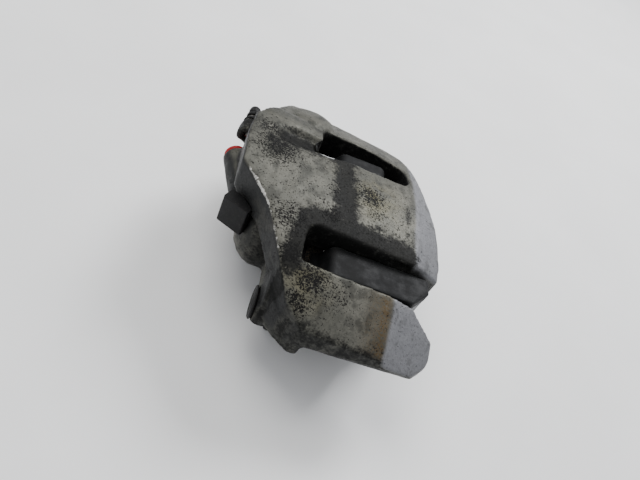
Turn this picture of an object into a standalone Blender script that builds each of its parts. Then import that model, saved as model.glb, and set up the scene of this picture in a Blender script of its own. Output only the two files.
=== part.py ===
"""Floating single-piston disc-brake caliper on its carrier bracket.

Sizes are millimetres in this file and metres in the meshes. The design frame has X along the disc's axis
(+X outboard), Y along the disc's rim and Z outwards from the disc's centre, with X = 0 in the middle of the
disc and Z = 0 at the crown of the bridge. The empty caliper_frame moves the design so that the world's
origin lies midway between the two knuckle bolt holes, on the plane of their lug faces.
"""

import math

import bmesh
import bpy
from mathutils import Matrix, Vector

MM = 0.001

# Clearances
TOUCH = 0.3              # gap between two pieces that touch
WELD = 0.004             # points closer than this are one point
STEP = 0.4               # offset that keeps joined shapes from sharing a plane
SLIDE = 1.2              # gap round a piece that slides in a window

# Disc and pad stack, from the disc outwards
DISC_THICKNESS = 28.0
DISC_RADIUS = 160.0
DISC_TOP_Z = -20.0
RUNNING_GAP = 0.5
LINING_THICKNESS = 10.5
BACKING_THICKNESS = 6.0
SHIM_THICKNESS = 0.8
PAD_HALF_WIDTH = 47.5
PAD_TOP_Z = -24.0
PAD_BOTTOM_Z = -62.0
LINING_INSET = 2.5
PAD_CORNER = 4.0
LINING_SLOT = 2.0

# Bridge: an arch turned about an axis below the disc's
BRIDGE_RADIUS = 205.0
BRIDGE_THICKNESS = 17.0
BRIDGE_FALL = 0.09       # drop per millimetre outboard
FOLD_X = 36.0
NEAR_FOLD_X = 26.0
OUTBOARD_X = 57.0
OUTBOARD_DROP = 12.0
INBOARD_X = -76.0
NEAR_SWEEP = 28.0
FAR_SWEEP = 29.5
ARM_Y = 92.0

# Windows in the bridge
WINDOW_INBOARD_X = -32.6
WINDOW_INNER_Y = 33.0
WINDOW_OUTER_Y = 57.0
WINDOW_CORNER = 7.0
FAR_WINDOW_INNER_Y = 35.0
FAR_WINDOW_OUTER_Y = 67.0
FAR_WINDOW_END_X = 34.0
FAR_BAR_SHORT = 15.0
NOTCH_FLOOR_Z = -26.5

# Outboard fingers
FINGER_HALF_WIDTH = 46.0
FINGER_BOTTOM_Z = -63.0
FINGER_GAP = 17.0
FINGER_GAP_TOP_Z = -34.0
SPRING_HOLE_RADIUS = 2.2

# Cylinder, piston and seals
BORE_Z = -40.0
BORE_RADIUS = 27.0
CYLINDER_WALL = 6.5
CYLINDER_GAP = 4.3
BORE_DEPTH = 25.5
CYLINDER_LENGTH = 32.0
PISTON_LENGTH = 27.5
PISTON_WALL = 4.5
PISTON_FLOOR = 5.0
SEAL_WIDTH = 4.0
SEAL_DEPTH = 3.0
SEAL_FROM_FACE = 4.5
BOOT_SEAT_DEPTH = 3.0
BOOT_SEAT_HEIGHT = 3.6
RELIEF = 19.5            # how far the boring tool's relief runs outboard under the bridge

# Guide pins and bushes
PIN_Y = 64.0
PIN_Z = -46.0
PIN_RADIUS = 5.0
PIN_END_X = -44.5
BUSH_RADIUS = 8.7
EAR_RADIUS = 12.0
EAR_FACE_X = -28.0
EAR_END_X = -46.0
PIN_POCKET_X = -26.6
CAP_FLANGE = 1.8
SHOULDER_X = EAR_END_X + 1.6

# Carrier bracket
BAR_TOP_Z = -10.0
BAR_THICKNESS = 11.0
BAR_CORNER = 5.0
LEG_OUTER_Y = 71.0
LEG_TOP_Z = -33.5
LEG_BOTTOM_Z = -70.0
PIN_LUG_RADIUS = 10.0
KNUCKLE_Y = 51.0
KNUCKLE_Z = -68.0
KNUCKLE_LUG_RADIUS = 12.0
KNUCKLE_HOLE_RADIUS = 6.2
KNUCKLE_FACE_X = -33.0
TIE_TOP_Z = -67.5
TIE_BOTTOM_Z = -77.0
TIE_THICKNESS = 12.0

# Ports
INLET_Z = -28.0
INLET_BASE = (-70.0, -2.0)
INLET_TIP = (-83.2, 30.5)
INLET_RADIUS = 8.6
INLET_HOLE_RADIUS = 5.0
INLET_HOLE_DEPTH = 11.0
PLUG_HEAD_RADIUS = 7.2
BLEED_X = -80.5
BLEED_Z = -16.0
BLEED_BASE_Y = 38.0
BLEED_FACE_Y = 52.5
BLEED_BOSS_RADIUS = 6.5
BLEED_HOLE_RADIUS = 3.5
BLEED_HOLE_DEPTH = 14.0
BLEED_NIPPLE_RADIUS = 2.6
BLEED_LENGTH = 17.0
BLEED_CAP_RADIUS = 4.1
TONGUE_LIFT = 68.0

# Sensor plug holder
HOLDER_SIZE = (18.0, 9.0, 20.5)
HOLDER_CENTRE = (-72.4, -21.0, -24.8)
HOLDER_TURN = -24.0

ROUND = 48               # sides of a large circle
SMALL_ROUND = 24         # sides of a small circle

HALF_DISC = DISC_THICKNESS / 2
LINING_FACE_X = HALF_DISC + RUNNING_GAP
BACKING_FACE_X = LINING_FACE_X + LINING_THICKNESS + TOUCH
SHIM_FACE_X = BACKING_FACE_X + BACKING_THICKNESS + TOUCH
STACK_X = SHIM_FACE_X + SHIM_THICKNESS + TOUCH
CYLINDER_FACE_X = -STACK_X - CYLINDER_GAP
CYLINDER_END_X = CYLINDER_FACE_X - CYLINDER_LENGTH
DISC_CENTRE_Z = DISC_TOP_Z - DISC_RADIUS
LEG_INNER_Y = PAD_HALF_WIDTH + SLIDE / 2
LEG_FACE_X = HALF_DISC + 3 * RUNNING_GAP
LEG_BACK_X = BACKING_FACE_X + BACKING_THICKNESS


def material(name, colour, roughness, metallic):
    """A Principled material of one colour."""
    made = bpy.data.materials.new(name)
    made.use_nodes = True
    shader = made.node_tree.nodes["Principled BSDF"]
    shader.inputs["Base Color"].default_value = (*colour, 1.0)
    shader.inputs["Roughness"].default_value = roughness
    shader.inputs["Metallic"].default_value = metallic
    made.diffuse_color = (*colour, 1.0)
    return made


def place(axis, a, b, along):
    """The point (a, b) of a section, set at a distance along its axis."""
    if axis == "X":
        return Vector((along, a, b))
    if axis == "Y":
        return Vector((a, along, b))
    return Vector((a, b, along))


def solid(name, bm):
    """A closed solid, in metres, with its faces pointing out."""
    bmesh.ops.remove_doubles(bm, verts=bm.verts, dist=1e-4)
    bmesh.ops.recalc_face_normals(bm, faces=bm.faces)
    bmesh.ops.scale(bm, vec=(MM, MM, MM), verts=bm.verts)
    mesh = bpy.data.meshes.new(name)
    bm.to_mesh(mesh)
    bm.free()
    made = bpy.data.objects.new(name, mesh)
    bpy.context.scene.collection.objects.link(made)
    return made


def rounded(outline, radius, steps=6):
    """An outline with its corners turned to arcs. A point may carry a radius of its own as a third value."""
    points = []
    count = len(outline)
    for index, corner in enumerate(outline):
        here = Vector(corner[:2])
        reach = corner[2] if len(corner) > 2 else radius
        back = (Vector(outline[index - 1][:2]) - here).normalized()
        ahead = (Vector(outline[(index + 1) % count][:2]) - here).normalized()
        half = back.angle(ahead) / 2
        if reach <= 0 or half > math.radians(88):
            points.append(here)
            continue
        start = here + back * (reach / math.tan(half))
        end = here + ahead * (reach / math.tan(half))
        centre = here + (back + ahead).normalized() * (reach / math.sin(half))
        first = start - centre
        sweep = first.angle_signed(end - centre)
        for step in range(steps + 1):
            turned = first.copy()
            turned.rotate(Matrix.Rotation(-sweep * step / steps, 2))
            points.append(centre + turned)
    return points


def circle(a, b, radius, sides=SMALL_ROUND):
    """Points round a circle."""
    turns = [2 * math.pi * index / sides for index in range(sides)]
    return [(a + radius * math.cos(turn), b + radius * math.sin(turn)) for turn in turns]


def prism(name, outline, low, high, axis):
    """An outline carried straight along an axis from low to high."""
    bm = bmesh.new()
    base = bm.faces.new([bm.verts.new(place(axis, p[0], p[1], low)) for p in outline])
    made = bmesh.ops.extrude_face_region(bm, geom=[base])
    moved = [item for item in made["geom"] if isinstance(item, bmesh.types.BMVert)]
    bmesh.ops.translate(bm, verts=moved, vec=place(axis, 0.0, 0.0, high - low))
    return solid(name, bm)


def cylinder(name, centre, radius, low, high, axis="X", sides=SMALL_ROUND):
    """A round bar along an axis."""
    return prism(name, circle(centre[0], centre[1], radius, sides), low, high, axis)


def turned(name, profile, base, direction, sides=SMALL_ROUND):
    """A closed profile of (radius, height) points turned about the line from base along direction."""
    bm = bmesh.new()
    aim = Vector((0, 0, 1)).rotation_difference(Vector(direction).normalized()).to_matrix().to_4x4()
    aim = Matrix.Translation(Vector(base)) @ aim
    rings = []
    for radius, height in profile:
        if radius == 0:
            rings.append([bm.verts.new(aim @ Vector((0, 0, height)))] * sides)
            continue
        spots = circle(0.0, 0.0, radius, sides)
        rings.append([bm.verts.new(aim @ Vector((x, y, height))) for x, y in spots])
    closed = profile[0][0] > 0 or profile[-1][0] > 0
    last = len(rings) if closed else len(rings) - 1
    for index in range(last):
        one = rings[index]
        two = rings[(index + 1) % len(rings)]
        for side in range(sides):
            after = (side + 1) % sides
            corners = []
            for vert in (one[side], one[after], two[after], two[side]):
                if vert not in corners:
                    corners.append(vert)
            if len(corners) > 2:
                bm.faces.new(corners)
    return solid(name, bm)


def arch(name, profile, start, end, steps):
    """A closed profile of (x, radius) points swept about the bridge's axis, from one angle to another."""
    bm = bmesh.new()
    rings = []
    for step in range(steps + 1):
        turn = math.radians(start + (end - start) * step / steps)
        rise = math.cos(turn)
        reach = math.sin(turn)
        rings.append([bm.verts.new((x, r * reach, r * rise - BRIDGE_RADIUS)) for x, r in profile])
    count = len(profile)
    for one, two in zip(rings, rings[1:]):
        for index in range(count):
            after = (index + 1) % count
            bm.faces.new((one[index], one[after], two[after], two[index]))
    bm.faces.new(rings[0])
    bm.faces.new(rings[-1])
    return solid(name, bm)


def weld(mesh):
    """Merges the hair-thin slivers that a cut can leave."""
    bm = bmesh.new()
    bm.from_mesh(mesh)
    bmesh.ops.remove_doubles(bm, verts=bm.verts, dist=WELD * MM)
    bmesh.ops.dissolve_degenerate(bm, edges=bm.edges, dist=WELD * MM)
    bm.to_mesh(mesh)
    bm.free()


def combine(target, operation, tools):
    """Joins the tools to the target, cuts them from it, or keeps what they share."""
    for tool in tools:
        step = target.modifiers.new(tool.name, "BOOLEAN")
        step.operation = operation
        step.solver = "EXACT"
        step.object = tool
        seen = target.evaluated_get(bpy.context.evaluated_depsgraph_get())
        target.data = bpy.data.meshes.new_from_object(seen)
        target.modifiers.clear()
        bpy.data.objects.remove(tool)
        weld(target.data)
    return target


def finish(piece, surface, smooth=40.0):
    """Gives a piece its material and its shading, and hangs it on the caliper's frame."""
    piece.data.materials.clear()
    piece.data.materials.append(surface)
    piece.data.shade_smooth()
    piece.data.set_sharp_from_angle(angle=math.radians(smooth))
    piece.parent = bpy.data.objects["caliper_frame"]
    return piece


def set_origin(piece, point):
    """Moves a piece's origin to a point of the design frame without moving its shape."""
    there = Vector(point) * MM
    piece.data.transform(Matrix.Translation(-there))
    piece.location = there


def unit(start, end):
    """The direction from one point to another in the plane of the ports."""
    return Vector((end[0] - start[0], end[1] - start[1], 0.0)).normalized()


def top_radius(x):
    """The bridge's outer radius at a distance outboard."""
    return BRIDGE_RADIUS - BRIDGE_FALL * x


def bridge_outline():
    """The casting seen from above: a slanted near shoulder, two outboard ends and a full far shoulder."""
    return [
        (-79.0, -9.0, 2.0), (-59.0, -31.0, 40.0), (-45.0, -60.0, 60.0), (-35.0, -81.0, 8.0), (-22.0, -ARM_Y, 8.0),
        (26.0, -ARM_Y, 0), (27.0, -94.5, 2.0), (43.0, -95.0, 12.0), (OUTBOARD_X, -82.0, 9.0),
        (OUTBOARD_X, -69.0, 2.0), (40.0, -WINDOW_OUTER_Y, 1.0), (49.5, -41.0, 2.0), (56.0, -34.0, 3.0),
        (OUTBOARD_X, -20.0, 8.0), (55.0, 10.0, 40.0), (48.0, 36.0, 30.0), (43.0, 60.0, 25.0), (33.0, 84.0, 12.0),
        (22.0, 91.0, 8.0), (-24.0, 93.0, 8.0), (-40.0, 99.0, 10.0), (-56.0, 95.0, 10.0),
        (-69.0, 62.0, 10.0), (-79.5, 45.0, 5.0), (-81.0, 20.0, 10.0),
    ]


def housing():
    """The one-piece casting: bridge, fingers, cylinder, ears and port bosses, with everything cut in it."""
    inner = BRIDGE_RADIUS - BRIDGE_THICKNESS
    edge = BRIDGE_RADIUS - OUTBOARD_DROP
    low_x = INBOARD_X - 8.0
    section = [
        (low_x, inner), (low_x, top_radius(low_x)), (FOLD_X, top_radius(FOLD_X)),
        (FOLD_X + 3.0, top_radius(FOLD_X) - 0.9), (OUTBOARD_X + 1.0, edge), (OUTBOARD_X + 1.0, inner),
    ]
    body = arch("caliper_housing", section, -NEAR_SWEEP, FAR_SWEEP, 40)
    hump = turned("hump", [(0, -14), (21, -14), (21, -4), (18, 0), (13, 2.2), (7, 3.2), (0, 3.5)],
                  (-44.0, 77.0, -11.0), (-0.05, 0.38, 1.0))
    combine(body, "UNION", [hump])

    # Outboard fingers
    half = FINGER_HALF_WIDTH
    fingers = [(-half, -16.0, 0), (-half, -44.0, 14.0), (-half + 11.0, FINGER_BOTTOM_Z, 8.0),
               (-FINGER_GAP, FINGER_BOTTOM_Z, 5.0), (-FINGER_GAP, FINGER_GAP_TOP_Z, 14.0),
               (FINGER_GAP, FINGER_GAP_TOP_Z, 14.0), (FINGER_GAP, FINGER_BOTTOM_Z, 5.0),
               (half - 11.0, FINGER_BOTTOM_Z, 8.0), (half, -44.0, 14.0), (half, -16.0, 0)]
    plate = prism("plate", rounded(fingers, 0.0), STACK_X, OUTBOARD_X + 2.0, "X")
    combine(body, "UNION", [plate])
    plan = prism("plan", rounded(bridge_outline(), 2.0), -90.0, 30.0, "Z")
    combine(body, "INTERSECT", [plan])
    slope = [(NEAR_FOLD_X, top_radius(NEAR_FOLD_X)), (OUTBOARD_X + 2.0, edge - 0.6),
             (OUTBOARD_X + 2.0, BRIDGE_RADIUS + 9.0), (NEAR_FOLD_X, BRIDGE_RADIUS + 9.0)]
    near_edge = math.degrees(math.asin(WINDOW_OUTER_Y / BRIDGE_RADIUS))
    combine(body, "DIFFERENCE", [arch("near slope", slope, -NEAR_SWEEP - 1.0, -near_edge + 0.6, 10)])

    # Cylinder with a domed inboard end
    outer = BORE_RADIUS + CYLINDER_WALL
    depth = CYLINDER_FACE_X - CYLINDER_END_X
    dome = [(0, 0), (outer, 0), (outer, depth - 15), (outer - 2, depth - 10), (outer - 6.5, depth - 5),
            (outer - 12, depth - 1.5), (outer - 18, depth), (0, depth)]
    barrel = turned("barrel", dome, (CYLINDER_FACE_X, 0, BORE_Z), (-1, 0, 0), ROUND)

    # Shoulders that carry the guide ears
    web = [(-PIN_Y - 9.0, -30.0, 4), (-PIN_Y - 9.0, PIN_Z, 4), (-PIN_Y, PIN_Z - 9.0, 6), (-34.0, -61.0, 14),
           (0.0, -69.0, 30), (34.0, -61.0, 14), (PIN_Y, PIN_Z - 9.0, 6), (PIN_Y + 9.0, PIN_Z, 4),
           (PIN_Y + 9.0, -30.0, 4), (58.0, -14.0, 4), (-58.0, -14.0, 4)]
    shoulder = prism("shoulder", rounded(web, 3.0), SHOULDER_X, CYLINDER_FACE_X - STEP, "X")
    ears = []
    for side in (-1, 1):
        tall = EAR_FACE_X - EAR_END_X
        ear = [(0, 0), (EAR_RADIUS, 0), (EAR_RADIUS, tall - 3), (EAR_RADIUS - 1.2, tall - 1),
               (EAR_RADIUS - 1.8, tall), (0, tall)]
        ears.append(turned("ear", ear, (EAR_FACE_X, side * PIN_Y, PIN_Z), (-1, 0, 0)))

    # Cheek that closes the near corner down to the ear
    cheek = [(SHOULDER_X - STEP, -58.0, 1), (-39.5, -76.5, 6), (-34.0, -82.5, 6), (-23.0, -90.5, 8), (-17.0, -91.0, 2),
             (-16.0, -82.0, 2), (-26.0, -78.5, 4), (-33.5, -74.0, 2), (-34.5, -58.0, 2)]
    wall = prism("cheek", rounded(cheek, 0.0), -46.0, -24.0, "Z")

    # Fluid gallery along the inboard end, with the inlet and bleed bosses
    gallery = [(-75.0, -14.0, 6), (-60.0, -24.0, 8), (-48.0, -20.0, 4), (-48.0, 54.0, 4), (-71.0, 54.0, 8),
               (-71.0, 18.0, 8), (-78.0, 8.0, 4)]
    block = prism("block", rounded(gallery, 4.0), -34.0, -8.0, "Z")
    toward = unit(INLET_BASE, INLET_TIP)
    reach = (Vector(INLET_TIP) - Vector(INLET_BASE)).length
    boss = [(0, 0), (INLET_RADIUS + 1.5, 0), (INLET_RADIUS, reach - 1.0), (INLET_RADIUS - 1.0, reach), (0, reach)]
    inlet = turned("inlet", boss, (*INLET_BASE, INLET_Z), toward)
    tall = BLEED_FACE_Y - BLEED_BASE_Y
    boss = [(0, 0), (BLEED_BOSS_RADIUS + 1, 0), (BLEED_BOSS_RADIUS, tall - 3), (BLEED_BOSS_RADIUS - 1.5, tall),
            (0, tall)]
    bleed = turned("bleed", boss, (BLEED_X, BLEED_BASE_Y, BLEED_Z), (0, 1, 0))
    combine(body, "UNION", [barrel, shoulder, *ears, wall, block, inlet, bleed])

    # Windows
    near = [(WINDOW_INBOARD_X, -WINDOW_INNER_Y, WINDOW_CORNER), (WINDOW_INBOARD_X, -WINDOW_OUTER_Y, 3.0),
            (90.0, -WINDOW_OUTER_Y, 0), (90.0, -WINDOW_INNER_Y, 0)]
    far = [(WINDOW_INBOARD_X, FAR_WINDOW_INNER_Y - 3.0, 5.0), (FAR_WINDOW_END_X, FAR_WINDOW_INNER_Y + 1.5, 8.0),
           (FAR_WINDOW_END_X - 3.0, FAR_WINDOW_OUTER_Y - 9.0, 8.0), (8.0, FAR_WINDOW_OUTER_Y, 20.0),
           (WINDOW_INBOARD_X, FAR_WINDOW_OUTER_Y - 2.0, 8.0)]
    cuts = [prism("near window", rounded(near, 0.0), NOTCH_FLOOR_Z, 30.0, "Z"),
            prism("far window", rounded(far, 0.0), -60.0, 30.0, "Z")]
    notch = [(WINDOW_INBOARD_X, -WINDOW_INNER_Y, WINDOW_CORNER), (WINDOW_INBOARD_X, -WINDOW_OUTER_Y, 3.0),
             (STACK_X - 1.0, -WINDOW_OUTER_Y, 0), (STACK_X - 1.0, -WINDOW_INNER_Y, 0)]
    cuts.append(prism("near cavity", rounded(notch, 0.0), -60.0, -20.0, "Z"))

    # Bore with its seal groove and boot seat
    seal = SEAL_FROM_FACE
    groove = BORE_RADIUS + SEAL_DEPTH
    seat = BORE_RADIUS + BOOT_SEAT_HEIGHT
    bore = [(0, -RELIEF), (seat, -RELIEF), (seat, BOOT_SEAT_DEPTH), (BORE_RADIUS, BOOT_SEAT_DEPTH), (BORE_RADIUS, seal),
            (groove, seal), (groove, seal + SEAL_WIDTH), (BORE_RADIUS, seal + SEAL_WIDTH), (BORE_RADIUS, BORE_DEPTH),
            (0, BORE_DEPTH)]
    cuts.append(turned("bore", bore, (CYLINDER_FACE_X, 0, BORE_Z), (-1, 0, 0), ROUND))

    # Guide bush holes, spring hole and ports
    for side in (-1, 1):
        cuts.append(cylinder("bush hole", (side * PIN_Y, PIN_Z), BUSH_RADIUS + TOUCH, EAR_END_X - 30.0,
                             EAR_FACE_X + 6.0))
    cuts.append(cylinder("spring hole", (-11.0, -19.0), SPRING_HOLE_RADIUS, OUTBOARD_X - 9.0, OUTBOARD_X + 5.0,
                         sides=12))
    hole = [(0, 0), (INLET_HOLE_RADIUS, 0), (INLET_HOLE_RADIUS, INLET_HOLE_DEPTH + 2), (0, INLET_HOLE_DEPTH + 2)]
    mouth = Vector((*INLET_TIP, INLET_Z)) - toward * INLET_HOLE_DEPTH
    cuts.append(turned("inlet hole", hole, mouth, toward))
    wide = PLUG_HEAD_RADIUS + 2 * TOUCH
    room = [(0, 0.6), (wide, 0.6), (wide, 16.0), (0, 16.0)]
    cuts.append(turned("plug room", room, (*INLET_TIP, INLET_Z), toward))
    cuts.append(cylinder("bleed hole", (BLEED_X, BLEED_Z), BLEED_HOLE_RADIUS + TOUCH,
                         BLEED_FACE_Y - BLEED_HOLE_DEPTH, BLEED_FACE_Y + 2, "Y"))
    cuts.append(holder_block("holder seat", TOUCH))
    combine(body, "DIFFERENCE", cuts)
    return body


def holder_block(name, extra):
    """The square block of the sensor plug holder, grown by a clearance."""
    long, deep, tall = (size / 2 + extra for size in HOLDER_SIZE)
    outline = [(-long, -deep), (long, -deep), (long, deep), (-long, deep)]
    made = prism(name, rounded(outline, 1.2, 3), -tall, tall, "Z")
    made.data.transform(Matrix.Rotation(math.radians(HOLDER_TURN), 4, "Z"))
    made.data.transform(Matrix.Translation(Vector(HOLDER_CENTRE) * MM))
    return made


def sensor_holder():
    """The holder: a square block with a socket in its outer end."""
    body = holder_block("sensor_plug_holder", 0.0)
    socket = prism("socket", rounded([(-5.5, -2.6), (5.5, -2.6), (5.5, 2.6), (-5.5, 2.6)], 0.8, 2), -14.0, -1.0, "Z")
    socket.data.transform(Matrix.Rotation(math.radians(HOLDER_TURN), 4, "Z"))
    socket.data.transform(Matrix.Translation(Vector(HOLDER_CENTRE) * MM))
    return combine(body, "DIFFERENCE", [socket])


def pad_outline(inset):
    """A pad's outline in Y and Z: an arched top, straight ends and a flat foot."""
    wide = PAD_HALF_WIDTH - inset
    reach = PAD_TOP_Z - inset - DISC_CENTRE_Z
    top = []
    for step in range(9):
        y = -wide + 2 * wide * step / 8
        top.append((y, DISC_CENTRE_Z + math.sqrt(reach * reach - y * y), 0))
    foot = PAD_BOTTOM_Z + inset
    return top + [(wide, foot, PAD_CORNER), (-wide, foot, PAD_CORNER)]


def pad(side, name):
    """One pad as a backing plate, a slotted lining and a shim; side is -1 inboard and 1 outboard."""
    def between(low, high):
        return sorted((side * low, side * high))

    backing = prism(name + "_backing", rounded(pad_outline(0.0), 0.0),
                    *between(BACKING_FACE_X, BACKING_FACE_X + BACKING_THICKNESS), "X")
    lining = prism(name + "_lining", rounded(pad_outline(LINING_INSET), 0.0),
                   *between(LINING_FACE_X, LINING_FACE_X + LINING_THICKNESS), "X")
    slot = LINING_SLOT / 2
    cut = prism("slot", [(-slot, -90.0), (slot, -90.0), (slot, 0.0), (-slot, 0.0)],
                *between(LINING_FACE_X - 1.0, LINING_FACE_X + LINING_THICKNESS - 2.5), "X")
    combine(lining, "DIFFERENCE", [cut])
    shim = prism(name + "_shim", rounded(pad_outline(3 * LINING_INSET), 0.0),
                 *between(SHIM_FACE_X, SHIM_FACE_X + SHIM_THICKNESS), "X")
    return backing, lining, shim


def piston():
    """A hollow cup, open towards the pad, with a groove for the boot's lip near its mouth."""
    radius = BORE_RADIUS - TOUCH
    cup = [(0, PISTON_LENGTH), (radius - 2, PISTON_LENGTH), (radius, PISTON_LENGTH - 2), (radius, 3.8),
           (radius - 1.6, 3.8), (radius - 1.6, 1.8), (radius, 1.8), (radius, 0), (radius - PISTON_WALL, 0),
           (radius - PISTON_WALL, PISTON_LENGTH - PISTON_FLOOR), (0, PISTON_LENGTH - PISTON_FLOOR)]
    return turned("piston", cup, (-STACK_X, 0, BORE_Z), (-1, 0, 0), ROUND)


def piston_seal():
    """The square-section ring in the bore's groove."""
    inner = BORE_RADIUS
    outer = BORE_RADIUS + SEAL_DEPTH - TOUCH
    ring = [(inner, TOUCH), (outer, TOUCH), (outer, SEAL_WIDTH - TOUCH), (inner, SEAL_WIDTH - TOUCH)]
    start = (CYLINDER_FACE_X - SEAL_FROM_FACE, 0, BORE_Z)
    return turned("piston_seal", ring, start, (-1, 0, 0), ROUND)


def dust_boot():
    """The folded rubber sleeve between the bore's mouth and the piston's groove."""
    face = CYLINDER_FACE_X
    seat = BORE_RADIUS + BOOT_SEAT_HEIGHT - TOUCH
    lip = BORE_RADIUS - TOUCH - 1.3
    wall = BORE_RADIUS + 1.9
    inner = BORE_RADIUS + 0.4
    sleeve = [(lip, 0.8), (wall, 0.8), (wall, -0.6), (inner, -0.6), (inner, -2.7), (seat, -2.7), (seat, 1.6),
              (seat - 0.6, 2.2), (lip, 2.2)]
    return turned("dust_boot", sleeve, (face, 0, BORE_Z), (1, 0, 0), ROUND)


def guide_parts(side, name):
    """A guide pin, its rubber bush and the bush's dust cap; side is -1 near and 1 far."""
    y = side * PIN_Y
    root = -LEG_FACE_X - 1.0
    length = root - PIN_END_X
    shaft = [(0, 0), (PIN_RADIUS - 0.8, 0), (PIN_RADIUS, 0.8), (PIN_RADIUS, length - 0.8),
             (PIN_RADIUS - 0.8, length), (0, length)]
    pin = turned("guide_pin_" + name, shaft, (root, y, PIN_Z), (-1, 0, 0))
    key = cylinder("key", (y, PIN_Z), 3.0, PIN_END_X - 1.0, PIN_END_X + 6.0, sides=6)
    combine(pin, "DIFFERENCE", [key])
    inner = PIN_RADIUS + TOUCH
    long = EAR_FACE_X - EAR_END_X - 1.0
    lip = EAR_FACE_X - PIN_POCKET_X + TOUCH
    sleeve = [(inner, lip), (BUSH_RADIUS + 1.8, lip), (BUSH_RADIUS + 1.8, -TOUCH), (BUSH_RADIUS, -TOUCH),
              (BUSH_RADIUS, long), (inner, long)]
    bush = turned("guide_bush_" + name, sleeve, (EAR_FACE_X, y, PIN_Z), (-1, 0, 0))
    start = long + TOUCH
    seat = EAR_FACE_X - EAR_END_X + TOUCH
    lid = [(0, start), (BUSH_RADIUS, start), (BUSH_RADIUS, seat), (BUSH_RADIUS + 1.6, seat),
           (BUSH_RADIUS + 1.2, seat + CAP_FLANGE), (0, seat + CAP_FLANGE + 0.4)]
    cap = turned("bush_cap_" + name, lid, (EAR_FACE_X, y, PIN_Z), (-1, 0, 0))
    return pin, bush, cap


def bar(side):
    """A bridging bar of the carrier, seen from the side as an arm with one round inboard shoulder."""
    bottom = BAR_TOP_Z - BAR_THICKNESS
    if side < 0:
        profile = [(-LEG_BACK_X, -46.0, 0), (-LEG_BACK_X, -27.0, 3.0), (-19.5, -20.5, 3.0),
                   (-13.5, BAR_TOP_Z, BAR_CORNER), (56.0, BAR_TOP_Z - 3.0, 2.0),
                   (56.0, bottom, 1.0), (LEG_BACK_X, bottom, 2.0), (LEG_BACK_X, -46.0, 0), (LEG_FACE_X, -46.0, 0),
                   (LEG_FACE_X, bottom, 4.0), (-LEG_FACE_X, bottom, 4.0), (-LEG_FACE_X, -46.0, 0)]
        inner = -WINDOW_INNER_Y - SLIDE
        outer = -WINDOW_OUTER_Y + SLIDE
    else:
        end = FAR_WINDOW_END_X - FAR_BAR_SHORT
        profile = [(-LEG_BACK_X, -46.0, 0), (-LEG_BACK_X, -29.0, 3.0), (-19.5, -22.5, 3.0),
                   (-14.0, BAR_TOP_Z - 3.0, BAR_CORNER),
                   (end, BAR_TOP_Z - 3.0, 6.0), (end, -27.5, 2.0), (LEG_BACK_X, -29.5, 1.0), (LEG_BACK_X, -46.0, 0),
                   (LEG_FACE_X, -46.0, 0), (LEG_FACE_X, bottom - 2.0, 3.0), (-LEG_FACE_X, bottom - 2.0, 3.0),
                   (-LEG_FACE_X, -46.0, 0)]
        inner = FAR_WINDOW_INNER_Y + 4.0
        outer = WINDOW_OUTER_Y - SLIDE
    made = prism("bar", rounded(profile, 0.0), min(inner, outer), max(inner, outer), "Y")
    if side > 0:
        return made
    tip = [(80.0, -20.0), (49.0, -20.0), (49.0, -36.0), (50.0, -44.0), (38.0, -57.0), (30.0, -70.0), (80.0, -70.0)]
    return combine(made, "DIFFERENCE", [prism("tip", tip, -40.0, 0.0, "Z")])


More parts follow.
